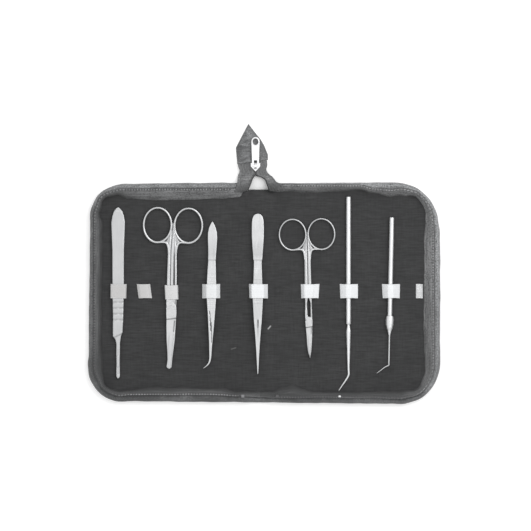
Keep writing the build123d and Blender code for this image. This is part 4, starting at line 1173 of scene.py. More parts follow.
        # Paler on its raised crumples, partly from rubbing and partly a painted highlight, with a painted highlight
        # along the folded base and a painted shade in a dark oval near it.
        fold = hump(y - (93.9 + 0.14 * (x + 15.9)) - 0.55, 0.45)
        hollow = np.exp(-(((x + 9.0) / 3.6) ** 2 + ((y - 98.4) / 1.7) ** 2))
        set_mark(tab.data, "rub", np.clip((z - 2.15) / 1.15 + 0.9 * fold - 0.7 * hollow, 0, 1) * 0.95)
        set_finish(tab, "Tab leatherette")
        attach(tab, "spine")
        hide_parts("zip_tab")


class OBJECT_OT_case_slider(bpy.types.Operator):
    """Slider and its long puller, with rounded edges"""

    bl_idname = "object.case_slider"
    bl_label = "Slider and puller"
    bl_options = {"REGISTER", "UNDO"}

    # CAD node, body, piece and radius of its rounded edges
    PARTS = (("slider_body", "slider", "slider", 0.16), ("zip_puller", "puller", "puller", 0.22))
    EYE = (-3.3, 109.9)  # middle of the puller's eye
    WIDER = ((2.6, 1.25), (2.2, 1.2))  # vertices that near the eye, and how far they move out, one after the other
    NARROWER = 0.88

    def execute(self, context):
        for node, body, name, radius in self.PARTS:
            work = bmesh.new()
            work.from_mesh(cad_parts[node].data)
            bmesh.ops.remove_doubles(work, verts=work.verts, dist=1e-6)
            bmesh.ops.dissolve_limit(work, angle_limit=np.radians(1.0), verts=work.verts, edges=work.edges)
            bmesh.ops.recalc_face_normals(work, faces=work.faces)
            for face in work.faces:
                face.smooth = True
            for edge in work.edges:
                edge.smooth = bool(len(edge.link_faces) < 2 or edge.calc_face_angle() < np.radians(30))
            if node == "zip_puller":
                self.reshape(work)
            mesh = bpy.data.meshes.new(name)
            work.to_mesh(mesh)
            work.free()
            piece = new_object(name, mesh)
            edges = piece.modifiers.new("Rounded edges", "BEVEL")
            edges.width, edges.segments, edges.limit_method = radius * MM, 2, "ANGLE"
            edges.angle_limit, edges.harden_normals = np.radians(40), True
            set_finish(piece, "Bright nickel")
            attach(piece, body)
            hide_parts(node)
        return {"FINISHED"}

    def reshape(self, work):
        """Makes the eye's ring larger, then the hole in it, and the whole puller narrower."""
        x, y = self.EYE
        vertices = work.verts
        for reach, factor in self.WIDER:
            vertices = [v for v in vertices if np.hypot(v.co.x / MM - x, v.co.y / MM - y) < reach]
            middle = Matrix.Translation((-x * MM, -y * MM, 0))
            bmesh.ops.scale(work, vec=(factor, factor, 1), space=middle, verts=vertices)
        middle = Matrix.Translation((-x * MM, 0, 0))
        bmesh.ops.scale(work, vec=(self.NARROWER, 1, 1), space=middle, verts=work.verts)


# ---------------------------------------------------------------- elastic
class OBJECT_OT_case_strap(bpy.types.Operator):
    """Woven elastic: a loop over each instrument, a spare loop and the end under the rim"""

    bl_idname = "object.case_strap"
    bl_label = "Elastic loops"
    bl_options = {"REGISTER", "UNDO"}

    # node: body, left and right foot, left and right shoulder, height of the crown, skew of the upper edge
    LOOPS = {
        "loop_scalpel": ("left_leaf", -109.0, -97.3, -108.4, -98.2, 7.05, (0.0, 0.2)),
        "loop_spare": ("left_leaf", -89.3, -79.4, -87.9, -80.9, 5.1, (-0.7, -0.7)),
        "loop_large_scissors": ("left_leaf", -69.35, -59.6, -68.7, -60.5, 7.35, (-0.25, -0.15)),
        "loop_curved_forceps": ("left_leaf", -42.1, -29.1, -39.0, -32.0, 9.0, (0.0, 0.0)),
        "loop_straight_forceps": ("spine", -7.9, 5.7, -5.9, 2.6, 9.2, (-0.2, 0.0)),
        "loop_small_scissors": ("right_leaf", 29.9, 42.9, 32.3, 38.6, 7.35, (-0.2, 0.3)),
        "loop_probe": ("right_leaf", 58.4, 71.3, 62.3, 66.7, 7.55, (-0.2, 0.0)),
        "loop_needle": ("right_leaf", 89.2, 101.9, 93.0, 97.2, 8.5, (-0.3, 0.1)),
    }
    END = ((113.95, 2.2), (113.95, 3.1), (114.3, 3.65), (115.4, 3.8), (117.4, 3.75), (118.3, 3.3), (118.6, 2.4))
    WIDTH, MIDDLE = 10.4, 1.0  # the elastic's width, and its middle line's Y
    ALONG, ACROSS = 46, 12  # points along and across a loop

    def execute(self, context):
        for node, (body, left, right, rise, fall, crown, skew) in self.LOOPS.items():
            self.band(node, body, (
                (left + 0.4, 2.2), (left + 0.35, 3.1), (left + 0.55, 3.8), (rise - 0.2, crown - 1.0),
                (rise + 0.7, crown - 0.42), ((rise + fall) / 2, crown - 0.30), (fall - 0.7, crown - 0.42),
                (fall + 0.2, crown - 1.0), (right - 0.55, 3.8), (right - 0.35, 3.1), (right - 0.4, 2.2),
            ), skew)
        self.band("strap_end", "right_leaf", self.END, (0.0, 0.0))
        return {"FINISHED"}

    def band(self, node, body, line, skew):
        """Band of elastic: its line over the instrument, carried across the strap's width.

        The upper edge is shifted along the strap by skew at its two feet, and both edges wander a
        little, as cut elastic does.
        """
        loose_end, seed = node == "strap_end", 80 + len(node)
        line = through(line, self.ALONG)
        share = np.linspace(-0.5, 0.5, self.ACROSS)[None]
        x = np.broadcast_to(line[:, :1], (self.ALONG, self.ACROSS)).copy()
        span = (x - x[0, 0]) / (x[-1, 0] - x[0, 0])
        x += (skew[0] * (1 - span) + skew[1] * span) * 2 * share
        tight = 1 - 0.035 * np.sin(np.pi * span) * (not loose_end)
        middle = self.MIDDLE - 0.8 * (node == "loop_large_scissors")
        y = middle + share * self.WIDTH * tight + 0.12 * ripple(x, 0 * x, 5, seed)
        z = line[:, 1:] + 0.06 * ripple(x, y, 4, seed + 1) * (line[:, 1:] > 3.2)
        loop = sheet_mesh(f"elastic_{node.removeprefix('loop_')}", xyz(x, y, z), facing=(0, 0, 1))
        # The loose end is darkened all over, a painted shade under the rim; the band's long edges are darker from
        # handling.
        set_mark(loop.data, "rub", np.clip(np.abs(share) * 2 - 0.86, 0, 1) * 3 + 1.2 * loose_end + 0 * x)
        set_finish(loop, "Elastic")
        solidify(loop, bpy.context.scene.instrument_case.elastic_thickness / MM * 0.9, offset=0.0)
        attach(loop, body)
        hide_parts(node)


# ---------------------------------------------------------------- instruments
def steel(piece, body, *nodes, look="Satin steel"):
    """Finishes a steel piece and sets it on its body, in place of CAD nodes."""
    set_finish(piece, look)
    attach(piece, body)
    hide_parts(*nodes)


class OBJECT_OT_case_scalpel(bpy.types.Operator):
    """Scalpel handle with cross ribs, a slanting shoulder and a grooved blade tang"""

    bl_idname = "object.case_scalpel"
    bl_label = "Scalpel handle"
    bl_options = {"REGISTER", "UNDO"}

    X, TOP, MIDDLE = -103.4, 62.0, REST + 1.5  # the handle's line, its upper end and half its height
    # Half the handle's width at distances down it
    OUTLINE = (
        (0, 0.2), (0.15, 0.75), (0.4, 1.2), (0.8, 1.7), (1.4, 2.2), (2.2, 2.75), (3.2, 3.25), (6.0, 4.25),
        (11.0, 5.05), (20.0, 4.72), (31.0, 4.3), (62.0, 4.2), (91.9, 3.6), (92.6, 3.5), (93.6, 3.0), (94.8, 2.2),
        (99.0, 1.40), (123.0, 1.38), (124.0, 1.0), (124.6, 0.15),
    )
    RIBS, RIB_PITCH = (67.1, 84.1), 4.25
    TANG = (103.5, 121.5)

    def ribs(self, down):
        """Hollows between the cross ribs: a raised cosine down the grip, 1 where deepest."""
        first, last = self.RIBS
        return ((1 - np.cos(2 * np.pi * (down - first) / self.RIB_PITCH)) / 2) ** 3 * ((down > first) & (down < last))

    def groove(self, across, along):
        """Shallow channel down the tang, either side of the blade stud."""
        tang = (along > self.TANG[0]) & (along < self.TANG[1])
        return 0.16 * tang * (np.abs(np.abs(across) - 0.72) < 0.30)

    def rib_shade(self, across, along):
        """Painted shade between the ribs, off the middle."""
        return 0.22 * self.ribs(along) * np.clip((np.abs(across) - 0.5) / 0.6, 0, 1)

    def execute(self, context):
        """Handle: rounded rectangles down a straight line; cosine ribs thin it, and the rings lean at the shoulder."""
        down = np.concatenate([
            [0.02, 0.15, 0.4, 0.8, 1.4, 2.2], np.linspace(3.2, 65.6, 60), np.linspace(66, 87, 170),
            np.linspace(87.5, 91.6, 6), np.linspace(92.0, 94.8, 10), np.linspace(95.3, 123.2, 50),
            [123.6, 124.0, 124.3, 124.5, 124.59],
        ])
        half = np.interp(down, *zip(*self.OUTLINE))
        thick = eased(down, (0, 3, 92.6, 94.0, 124.6), (0.9, 1.5, 1.5, 0.7, 0.7)) - 0.2 * self.ribs(down)
        line = xyz(self.X - eased(down, (78, 91, 97), (0.0, 0.28, 0.0)), self.TOP - down, self.MIDDLE)
        handle = bar("handle", line, half, thick, 0.55, flats=(14, 2), carve=self.groove, sharp=50, stain=self.rib_shade)
        points = np.array([v.co for v in handle.data.vertices])
        lean = eased(self.TOP - points[:, 1] / MM, (84.0, 91.0, 96.0, 101.0), (0.0, 0.39, 0.39, 0.0))
        points[:, 1] += (points[:, 0] - self.X * MM) * lean
        handle.data.vertices.foreach_set("co", points.ravel())
        y = np.linspace(self.TOP - 107.6, self.TOP - 116.6, 16)
        swell = 0.85 * np.sqrt(np.clip(1 - ((y - y.mean()) / 4.55) ** 8, 0.02, 1))
        stud = bar("stud", xyz(self.X, y, self.MIDDLE + 0.72), swell, 0.33, 0.2, sharp=50)
        steel(join("scalpel", handle, stud), "scalpel", "scalpel_handle", look="Matt steel")
        return {"FINISHED"}


class Pair:
    """One pair of scissors in its own frame: pivot at the origin, rings towards +Y.

    pivot and tilt say where it lies. ring is the right ring's middle, ring_half the ring's half width
    and height, wire its thickness and ring_dull its dullness, a painted shade. shank is how far a
    shank's outer side is from the middle line, step where the shanks begin, and slot how far the left
    and right shank are cut away inside. blades are the upper and the lower blade: how far below the
    pivot, and where its left and right sides are there. joint is the plate over the pivot, given the
    same way but above it.
    """

    def __init__(self, name, **sizes):
        self.name = name
        for key, value in sizes.items():
            setattr(self, key, value)
        self.pivot, self.tilt = np.array(self.pivot), np.radians(self.tilt)
        self.ring_low = self.ring[1] - self.ring_half[1]

    def placed(self, points):
        """Turns points about the pivot by the pair's tilt and moves them to where it lies."""
        c, s = np.cos(self.tilt), np.sin(self.tilt)
        x, y = points[..., 0], points[..., 1]
        return xyz(c * x - s * y + self.pivot[0], s * x + c * y + self.pivot[1], points[..., 2])


class OBJECT_OT_case_scissors(bpy.types.Operator):
    """Two pairs of scissors with round finger rings, faceted shanks and ground blades"""

    bl_idname = "object.case_scissors"
    bl_label = "Scissors"
    bl_options = {"REGISTER", "UNDO"}

    LARGE = Pair(
        "large_scissors", pivot=(-64.75, -15.6), tilt=-1.2, ring=(11.25, 64.6), ring_half=(10.9, 13.4), wire=1.6,
        ring_dull=0.04, shank=3.6, step=8.0, slot=(0.0, 1.5),
        joint=(
            (3.5, -3.7, 3.8), (4.8, -3.7, 3.7), (6.0, -3.7, 2.9), (7.4, -3.7, 1.7), (11.5, -3.6, 1.3),
            (16.0, -3.5, 1.2),
        ),
        blades=(
            ((0, -3.5, 3.8), (3.6, -3.25, 3.65), (9.1, -3.25, 3.4), (18.8, -2.9, 3.0), (28.5, -2.15, 2.0),
             (33.3, -1.95, 1.47), (36.2, -2.2, 1.3), (38.1, -2.5, 1.2)),
            ((0, -3.3, 3.8), (3.6, -3.1, 3.6), (9.1, -3.1, 3.3), (18.8, -2.7, 2.9), (28.5, -2.0, 1.85),
             (37.3, -1.7, 1.0)),
        ),
    )
    SMALL = Pair(
        "small_scissors", pivot=(35.6, -21.6), tilt=1.2, ring=(10.5, 64.0), ring_half=(10.3, 11.8), wire=1.3,
        ring_dull=0.10, shank=2.5, step=5.8, slot=(0.9, 1.3),
        joint=((0.5, -2.6, 2.7), (1.6, -2.6, 2.6), (3.4, -2.6, -0.4), (5.4, -2.6, -0.95), (9.0, -2.6, -0.95)),
        blades=(
            ((0, -2.5, 2.6), (3.4, -2.35, 2.45), (3.8, -2.2, 2.3), (10.3, -1.8, 2.2), (15.9, -1.63, 1.87),
             (21.6, -1.05, 1.35), (25.6, -0.05, 0.62)),
            ((0, -2.3, 2.6), (3.4, -2.2, 2.45), (10.3, -1.7, 2.1), (15.9, -1.5, 1.75), (21.6, -0.9, 1.2),
             (25.6, 0.0, 0.55)),
        ),
    )
    BLADE, GRIP = 1.6, 2.2  # thickness of a blade and of a shank
    LAP, GAP = 0.1, 0.12  # space between the two blades, and from each shank to the middle line
    PARTED = -1.05  # where the large pair's two shanks meet

    def execute(self, context):
        for pair in (self.LARGE, self.SMALL):
            for hand, level in ((1, "upper"), (-1, "lower")):
                body = pair.name if hand > 0 else f"{pair.name}_half"
                parts = [self.ring(pair, hand), self.shank(pair, hand), self.blade(pair, hand), *self.web(pair, hand)]
                if hand > 0:
                    parts.append(self.plate(pair))
                steel(join(f"{pair.name}_{level}_half", *parts), body, f"{pair.name}_{level}")
            set_finish(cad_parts[f"{pair.name}_screw"], "Satin steel")
        return {"FINISHED"}

    @property
    def grip_z(self):
        """Height of the shanks' and rings' middle."""
        return REST + self.BLADE + self.LAP / 2

    def ring(self, pair, hand):
        """Finger ring: a circle of wire carried round an ellipse, a little thicker below."""
        turn = np.linspace(0, 2 * np.pi, 72, endpoint=False)
        a, b = (half - pair.wire / 2 for half in pair.ring_half)
        middle = np.stack([hand * pair.ring[0] + a * np.cos(turn), pair.ring[1] + b * np.sin(turn)], axis=1)
        outward = np.stack([b * np.cos(turn), a * np.sin(turn)], axis=1)
        outward /= np.linalg.norm(outward, axis=1, keepdims=True)
        around = np.linspace(0, 2 * np.pi, 16, endpoint=False)
        heavy = 1 + 0.12 * np.clip(-np.sin(turn), 0, 1)[:, None]
        flat = middle[:, None] + (pair.wire / 2 * heavy * np.cos(around))[..., None] * outward[:, None]
        rings = pair.placed(raised(flat, self.grip_z + 0.95 * np.sin(around)))
        closed = np.concatenate([rings, rings[:1]])
        # The ring's colour is darkened evenly by ring_dull, a painted shade for the thin round wire.
        return sheet_mesh("ring", closed, wrap=True, weld=True, sunk=np.full(closed.shape[:2], pair.ring_dull))

    def shank(self, pair, hand):
        """Shank from beside the pivot to beside the ring: a faceted bar, darkened by painted reflection where a facet
        is hollow.

        The right shank has a deep hollow facet between a third and two thirds of its width, and
        its inner side is cut away above the pivot, which leaves the slot there.
        """
        start, low, middle_of_ring, large = pair.step, pair.ring_low, pair.ring[1], pair is self.LARGE
        y = np.concatenate([
            np.linspace(start - 4.5, start, 10), np.linspace(start + 0.4, low + 1, 60),
            np.linspace(low + 1.8, middle_of_ring + 1.5, 12),
        ])
        parted = eased(y, (low - 6, low + 6), (self.PARTED, self.PARTED / 2)) * large
        inner, outer = hand * self.GAP + parted, hand * pair.shank
        narrow = eased(y, (start + 12, low - 4, low + 3, middle_of_ring - 1), (1.0, 0.9, 0.66, 0.3))
        reach = inner + (outer - inner) * narrow
        cut = eased(y, (start - 4, start - 1, start + 7, start + 14), (1.0, 1.0, 1.0, 0.0)) * pair.slot[hand > 0]
        near = inner + hand * cut
        middle, half = (near + reach) / 2, np.abs(reach - near) / 2
        z = eased(y, (start - 4.0, start + 3.0), (REST + self.BLADE * 0.9, self.grip_z))
        grip = self.GRIP / 2
        tall = eased(y, (start - 4.0, start + 3.0, low, middle_of_ring), (self.BLADE * 0.6, grip, grip, 0.8))
        above, end = start + 12, low - start

        def share(across):
            """Place across the shank: 0 at its inner side, 1 at its outer side."""
            return 0.5 + 0.5 * hand * across / half[:, None]

        def ground(across, along):
            """Hollow from each edge up to the ridge, and the facet of the right shank."""
            level = 0.42 * np.abs(2 * share(across) - 1) ** 1.5
            facet = 0.45 * hump(share(across) - 0.57, 0.13) * (hand > 0) * large
            return (level + facet) * eased(along, (3.5, 12.0), (0.0, 1.0))

        def dull(across, along):
            """Painted reflection that darkens facets: the right shank's hollow, and the left shank's inner half."""
            if not large:
                fade = eased(along, (6.0, above, end - 2, end + 4), (0.3, 1.0, 0.8, 0.0))
                return 0.16 * hump(share(across) - 0.60, 0.16, 4) * fade
            dark = hump(share(across) - 0.57, 0.17, 4) if hand > 0 else 0.12 * hump(share(across) - 0.3, 0.26, 4)
            fade = eased(along, (6.0, above, above + 18, end, end + 6), (0.4, 1.0, 0.85, 0.45, 0.1))
            wedge = (share(across) > 0.42 + 0.04 * along) * (share(across) < 0.84) * (along < 7.2)
            return 0.8 * (hand > 0) * wedge + (along >= 7.2) * dark * fade

        line = pair.placed(xyz(middle, y, z))
        return bar("shank", line, half, tall, 0.24, flats=(14, 2), carve=ground, sharp=28, stain=dull)

    def plate(self, pair):
        """Upper half over the pivot: a flat bar whose right side runs in from the cut to the full width."""
        joint = np.array(pair.joint)
        y = np.linspace(joint[-1, 0], joint[0, 0], 30)
        left, right = (np.interp(y, joint[:, 0], joint[:, k]) for k in (1, 2))
        z = REST + self.BLADE * 1.5 + self.LAP + eased(y, (joint[0, 0], joint[-1, 0]), (0.0, -0.25))
        line = pair.placed(xyz((left + right) / 2, y, z))

        def scratched(across, along):
            """A few short dull scratches."""
            return 0.30 * np.clip(ripple(across * 0.5, along * 2.0, 2.2, 33) * 3 - 0.6, 0, 1)

        return bar("plate", line, (right - left) / 2, self.BLADE / 2, 0.2, flats=(12, 1), sharp=40, stain=scratched)

    def blade(self, pair, hand):
        """Blade: a flat bar to a rounded point; past a slanting step its face is ground down to the edge."""
        table = np.array(pair.blades[0 if hand > 0 else 1])
        last, (left_end, right_end) = table[-1, 0], table[-1, 1:]
        radius = (right_end - left_end) / 2
        start = -pair.joint[0][0] if hand > 0 else -1.0
        tip = last + radius * np.sin(np.linspace(0.1, 1, 8) * np.pi / 2)
        down = np.concatenate([np.linspace(start, 3.0, 8), np.linspace(3.2, last, 110), tip])
        left, right = (np.interp(down, table[:, 0], table[:, k]) for k in (1, 2))
        close = np.where(down > last, np.sqrt(np.clip(1 - ((down - last) / radius) ** 2, 0.0005, 1)), 1.0)
        half = (right - left) / 2 * close
        z = REST + self.BLADE / 2 + (self.BLADE + self.LAP if hand > 0 else 0)
        size, joint = pair.shank / 3.6, 3.6 - start

        def face(across, along):
            """Where the ground face is: past a line that slants across the blade."""
            return along - joint - 0.13 * across

        def ground(across, along):
            """Step down at the slanting line, then a bevel that deepens to the cutting side."""
            side = np.clip(hand * across / half[:, None], -1, 1)
            ramp = np.clip(face(across, along) / 6.0, 0, 1)
            bevel = 0.55 * np.clip((side - 0.1) / 0.9, 0, 1) + 0.3 * np.clip((-side - 0.6) / 0.4, 0, 1)
            return 0.16 * (face(across, along) > 0) + ramp * bevel

        def dull(across, along):
            """Painted shade and reflection: a dark step, a grey hollow down the face, and a dark sliver down the upper
            blade's right side.
            """
            step = 0.8 * hump(face(across, along), 0.40)
            right, past = -across / half[:, None], along / size - joint
            hollow = 0.24 * hump(right - 0.05 + 0.035 * past, 0.20) * np.clip((past - 9) / 6, 0, 1)
            sheen = 0.14 * hump(right - 0.62, 0.22) * np.clip((past - 6) / 6, 0, 1)
            sheen = sheen + 0.10 * np.clip((past - 13) / 10, 0, 1)
            sliver = 0.85 * hump(right - 0.74 + 0.012 * past, 0.13) * (past > 1.0) * (past < 9.5) * (hand > 0)
            return np.clip(np.maximum(np.maximum(step, sliver), np.maximum(hollow, sheen)), 0, 1)

        line = pair.placed(xyz((left + right) / 2, -down, z))
        return bar("blade", line, half, self.BLADE / 2, 0.12, flats=(16, 1), carve=ground, sharp=24, stain=dull)

    def web(self, pair, hand):
        """Web that flares from the shank's outer side into the ring's lower side: a bar along a curve."""
        low, out = pair.ring_low, pair.shank
        curve = [
            (out * 0.80, low - 6.5), (out * 0.84, low - 3.0), (out + 0.35, low - 0.2), (out + 2.2, low + 0.9),
            (pair.ring[0] - 2.0, low + 0.75),
        ]
        line, steps = through([(hand * x, y) for x, y in curve], 22), np.arange(22)
        half, tall = (eased(steps, (0, 8, 21), values) for values in ((0.5, 0.75, 0.55), (0.95, 1.0, 0.8)))
        outer = bar("web", pair.placed(raised(line, self.grip_z)), half, tall, 0.4, sharp=40)
        curve = [(0.5, low + 9.5), (out * 0.55, low + 4.0), (out * 0.9, low)]
        line = through([(hand * x, y) for x, y in curve], 16)
        half = eased(np.arange(16), (0, 9, 15), (0.4, 1.5, 2.7))
        # The fillet is dulled evenly, a painted shade where it lies low between shank and ring.
        fill = bar(
            "fillet", pair.placed(raised(line, self.grip_z - 0.35)), half, 0.5, 0.3, sharp=40,
            stain=lambda across, along: 0.30 + 0 * across,
        )
        return [outer, fill]


class Tweezer:
    """Plan of one pair of forceps: its root's place, how far down the bright land ends, and the outline.

    A row of the outline is a distance down from the root, half the width there, and how far the
    middle is shifted to the right.
    """

    def __init__(self, name, root, land, outline):
        self.name, self.root, self.land, self.outline = name, root, land, np.array(outline, float)
        self.length = self.outline[-1, 0]

    def read(self, down, column):
        """Column of the outline, read straight across with the corners softened over 0.6 mm."""
        rows, spread = self.outline, np.linspace(-0.3, 0.3, 5)
        places = [np.clip(down + step * np.clip(down / 3, 0, 1), 0, self.length) for step in spread]
        return np.mean([np.interp(place, rows[:, 0], rows[:, column]) for place in places], axis=0)


class OBJECT_OT_case_forceps(bpy.types.Operator):
    """Straight and curved forceps: two springing arms from a welded root"""

    bl_idname = "object.case_forceps"
    bl_label = "Forceps"
    bl_options = {"REGISTER", "UNDO"}

    STRAIGHT = Tweezer(
        "straight_forceps", (-1.6, 57.4), 33.7,
        [(y, half, 0.0) for y, half in (
            (0, 0.25), (0.3, 1.6), (0.8, 2.5), (1.8, 3.3), (3.5, 3.95), (6.0, 4.3), (10.0, 4.4), (16.2, 4.4),
            (24.4, 3.95), (29.1, 3.55), (33.4, 3.3), (34.1, 2.85), (36.5, 2.85), (45.4, 3.1), (62.3, 3.75),
            (76.9, 2.95), (89.3, 1.9), (100.5, 1.15), (111.8, 0.58), (116.6, 0.3),
        )],
    )
    CURVED = Tweezer(
        "curved_forceps", (-34.7, 51.5), 27.7,
        ((0, 0.25, 0.0), (0.6, 0.7, 0.0), (2.0, 1.45, 0.0), (4.4, 2.45, 0.0), (7.9, 3.25, 0.05), (12.6, 3.4, 0.1),
         (18.4, 3.1, 0.0), (24.3, 2.85, -0.2), (27.4, 2.85, -0.3), (28.0, 2.7, -0.3), (34.8, 3.05, -0.45),
         (44.1, 3.35, -0.6), (56.4, 3.4, -0.7), (65.9, 2.7, -0.7), (79.9, 1.8, -0.95), (88.9, 1.15, -1.2),
         (98.9, 0.7, -1.5), (101.6, 0.62, -1.95), (103.3, 0.52, -2.75), (104.6, 0.42, -3.9), (105.7, 0.32, -5.25),
         (106.6, 0.18, -6.6)),
    )
    ARM, WELD, GAP = 1.0, 0.7, 0.05  # thickness of an arm and of the weld between them, and the space over it
    SPREAD = np.tan(np.radians(2.0))  # how steeply the upper arm rises from the root

    def execute(self, context):
        for pair in (self.STRAIGHT, self.CURVED):
            steel(self.arm(pair, upper=False), pair.name, f"{pair.name}_lower")
            steel(self.arm(pair, upper=True), f"{pair.name}_arm", f"{pair.name}_upper")
        return {"FINISHED"}

    @staticmethod
    def slot(across, along):
        """1 in the slot in front of the curved pair's tips, which lies on a slanting line."""
        return ((along > 65) & (along < 80)) * (np.abs(across - 1.25 + 0.089 * (along - 66)) < 0.34)

    def arm(self, pair, upper):
        """Arm: flat rounded rectangles down the plan; the upper arm leans up by the spread.

        Fine grooves cross the grip, a bright land steps down from the root, and a slot stands in
        front of the tips.
        """
        length, land, straight = pair.length, pair.land, pair is self.STRAIGHT
        down = np.concatenate([[0.02, 0.2, 0.5, 1, 1.6, 2.4], np.linspace(3.4, length - 0.1, 260), [length]])
        half, shift = pair.read(down, 1), pair.read(down, 2)
        if upper:
            step = eased(down, (land, land + 0.5), (0.0, 0.22))
            z = REST + self.ARM + self.WELD + self.GAP + self.ARM / 2 + down * self.SPREAD - step * 0.5
            tall = self.ARM / 2 - step * 0.5
        else:
            gap = eased(down, (10.5, 12.5, length - 17, length - 12), (self.WELD, 0.0, 0.0, self.WELD - self.GAP))
            top = REST + self.ARM + gap
            z, tall = (REST + top) / 2, (top - REST) / 2
        tall = tall * eased(down, (length - 8, length), (1.0, 0.75))
        line = xyz(pair.root[0] + shift, pair.root[1] - down, z)

        def marks(across, along):
            """Cross grooves on the grip and the slot in front of the tips."""
            grip = 0.07 * (0.5 + 0.5 * np.sign(np.sin(2 * np.pi * along / 1.4))) * ((along > 37) & (along < 64))
            fine = 0.05 * (np.sin(2 * np.pi * along / 0.9) > 0.3) * ((along > land - 4) & (along < land - 0.4))
            if straight:
                slot = 0.55 * ((along > 77.3) & (along < 82.5)) * (np.abs(across + 0.1) < 0.40)
            else:
                slot = 0.3 * self.slot(across, along)
            return (grip + fine) * (np.abs(across) < 2.6) + slot

        def dull(across, along):
            """Painted shade: the dark slots near the tips, and a greyer root above the bright land."""
            places = (land - 20, land - 4, land - 0.3, land, land + 0.3)
            root = eased(along, places, (0.0, 0.17, 0.05, 0.3, 0.0))
            if straight:
                slot = 0.8 * hump(across + 0.1, 0.42) * eased(along, (76.9, 77.4, 82.0, 94.0), (0.0, 1.0, 0.7, 0.0))
                slot = np.maximum(slot, 0.08 * ((along > 44) & (along < 76.9)))
                for edge in (48.0, 65.4):
                    slot = np.maximum(slot, 0.22 * (np.abs(along - edge) < 0.25))
            else:
                second = ((along > 73) & (along < 88)) * (np.abs(across + 0.15 + 0.035 * (along - 74)) < 0.26)
                slot = 0.8 * np.maximum(self.slot(across, along), second)
            return np.maximum(root, slot)

        return bar(
            f"{pair.name}_{'upper' if upper else 'lower'}_arm", line, half, tall, 0.3, flats=(16, 1), sharp=50,
            carve=marks if upper else None, stain=dull if upper else None,
        )


class OBJECT_OT_case_probe(bpy.types.Operator):
    """Seeker with a necked collar and a tapering bent point"""

    bl_idname = "object.case_probe"
    bl_label = "Bent seeker"
    bl_options = {"REGISTER", "UNDO"}

    X, Z = 64.5, REST + 1.75  # the seeker's line and mid-height
    TIP = ((64.5, -55.0), (64.65, -57.5), (64.6, -59.8), (63.6, -62.2), (60.6, -66.7), (57.4, -71.5))

    def execute(self, context):
        """Handle and point: circles whose radius steps and tapers along the line, which bends near its end."""
        y = np.concatenate([[69.9, 69.88, 69.75, 69.5], np.linspace(69.2, -22.9, 60), [-23.1, -23.28, -23.3]])
        radius = np.interp(
            -y, (-69.9, -69.88, -69.75, -69.5, 22.9, 23.2, 23.3), (1.2, 1.35, 1.6, 1.75, 1.75, 1.5, 1.0)
        )
        steel(rod("seeker_handle", xyz(self.X, y, self.Z), radius), "probe", "probe_handle", look="Bright steel")
        y = np.concatenate([np.linspace(-23.2, -28, 12), np.linspace(-28.6, -54.5, 30)])
        line = np.concatenate([xyz(self.X, y, self.Z), through([(*place, self.Z) for place in self.TIP], 34)])
        run = lengths(line)
        radius = np.interp(
            run, (0, 1.1, 1.3, 4.4, 5.0, 8.3, 31.7, 36.5, run[-1] - 0.4, run[-1]),
            (1.0, 1.0, 1.05, 1.7, 1.75, 1.62, 0.8, 0.72, 0.32, 0.12),
        )
        steel(rod("seeker_point", line, radius), "probe", "probe_point", look="Bright steel")
        return {"FINISHED"}


class OBJECT_OT_case_needle(bpy.types.Operator):
    """Bent dissecting needle: a round handle, a chuck and a wire point"""

    bl_idname = "object.case_needle"
    bl_label = "Bent needle"
    bl_options = {"REGISTER", "UNDO"}

    TOP, TILT, Z = (96.1, 54.8), np.radians(1.2), REST + 2.75  # upper end, lean and mid-height

    def along(self, distance):
        """Points at distances down the tilted axis."""
        distance = np.asarray(distance, float)
        return xyz(self.TOP[0] - distance * np.sin(self.TILT), self.TOP[1] - distance * np.cos(self.TILT), self.Z)

    def execute(self, context):
        """Handle, chuck and wire: circles along one tilted line, the wire bending near its end."""
        d = np.concatenate([[0, 0.02, 0.15, 0.4], np.linspace(0.8, 71.9, 50)])
        radius = np.interp(d, (0, 0.02, 0.15, 0.4, 71.9), (1.15, 1.3, 1.55, 1.7, 1.7))
        steel(rod("needle_grip", self.along(d), radius), "needle", "needle_handle", look="Bright steel")

        d = np.concatenate([[71.7, 71.72, 71.8, 72.0], np.linspace(72.2, 81.4, 90), np.linspace(81.5, 85.6, 12)])
        radius = np.interp(
            d, (71.7, 71.9, 72.4, 74.6, 77.6, 80.6, 82.4, 85.6), (2.0, 2.5, 2.65, 3.05, 2.95, 2.3, 1.45, 0.75)
        )
        radius = radius - 0.10 * (np.sin(2 * np.pi * d / 0.9) > 0.2) * ((d > 73.2) & (d < 80.4))  # knurling
        steel(rod("needle_chuck", self.along(d), radius), "needle", "needle_ferrule", look="Bright steel")

        bend = [self.along(104.3), self.along(106.0), self.along(107.0) + (-0.15, -0.8, 0)]
        bend += [(x, y, self.Z) for x, y in ((91.2, -54.2), (88.0, -56.6), (85.1, -58.8))]
        line = np.concatenate([self.along(np.linspace(85.4, 104.0, 24)), through(bend, 26)])
        run = lengths(line)
        radius = np.interp(run, (0, 18, run[-1] - 0.3, run[-1]), (0.62, 0.58, 0.24, 0.1))
        steel(rod("needle_wire", line, radius, arc=5), "needle", "needle_point")
        return {"FINISHED"}


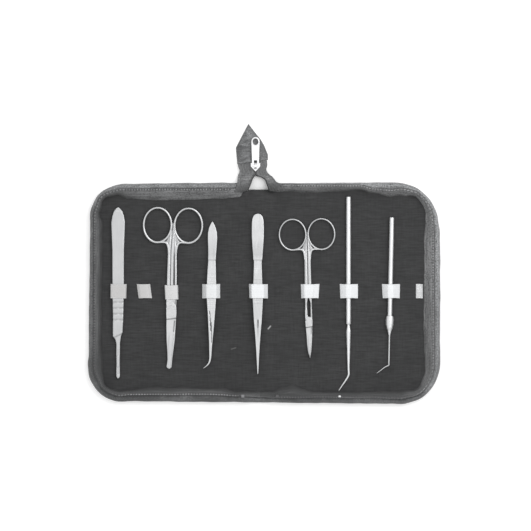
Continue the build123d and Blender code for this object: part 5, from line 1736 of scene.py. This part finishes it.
class OBJECT_OT_case_hidden(bpy.types.Operator):
    """Finishes of the CAD pieces that stay: boards, hidden elastic and the zip's stops"""

    bl_idname = "object.case_hidden"
    bl_label = "Boards, hidden elastic and stops"
    bl_options = {"REGISTER", "UNDO"}

    LOOKS = {
        "left_board": "Board", "right_board": "Board", "spine_board": "Board", "left_elastic": "Elastic",
        "right_elastic": "Elastic", "left_zip_stop": "Dull teeth", "right_zip_stop": "Dark teeth",
    }

    def execute(self, context):
        for node, look in self.LOOKS.items():
            set_finish(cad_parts[node], look)
        return {"FINISHED"}


class VIEW3D_PT_instrument_case(bpy.types.Panel):
    """Lists the pieces of the case and its settings"""

    bl_label = "Instrument Case"
    bl_idname = "VIEW3D_PT_instrument_case"
    bl_space_type = "VIEW_3D"
    bl_region_type = "UI"
    bl_category = "Instrument Case"

    def draw(self, context):
        scene = context.scene
        for label, settings in (("Case", scene.instrument_case), ("Stage", scene.instrument_case_stage)):
            box = self.layout.box()
            box.label(text=label)
            for key in type(settings).__annotations__:
                box.prop(settings, key)
        for operator in PIECES:
            self.layout.operator(operator.bl_idname)


PIECES = (
    OBJECT_OT_case_stage, OBJECT_OT_case_shell, OBJECT_OT_case_lining, OBJECT_OT_case_zip,
    OBJECT_OT_case_tail, OBJECT_OT_case_slider, OBJECT_OT_case_strap, OBJECT_OT_case_scalpel,
    OBJECT_OT_case_scissors, OBJECT_OT_case_forceps, OBJECT_OT_case_probe, OBJECT_OT_case_needle,
    OBJECT_OT_case_hidden,
)
CLASSES = (InstrumentCaseSettings, InstrumentCaseStage, *PIECES, VIEW3D_PT_instrument_case)


def register():
    """Adds the settings, operators and panel to Blender."""
    for item in CLASSES:
        bpy.utils.register_class(item)
    bpy.types.Scene.instrument_case = bpy.props.PointerProperty(type=InstrumentCaseSettings)
    bpy.types.Scene.instrument_case_stage = bpy.props.PointerProperty(type=InstrumentCaseStage)


def unregister():
    """Takes them away again."""
    del bpy.types.Scene.instrument_case
    del bpy.types.Scene.instrument_case_stage
    for item in reversed(CLASSES):
        bpy.utils.unregister_class(item)


def main():
    """Makes every piece in order."""
    register()
    for operator in PIECES:
        group, name = operator.bl_idname.split(".")
        getattr(getattr(bpy.ops, group), name)()


if __name__ == "__main__":
    main()
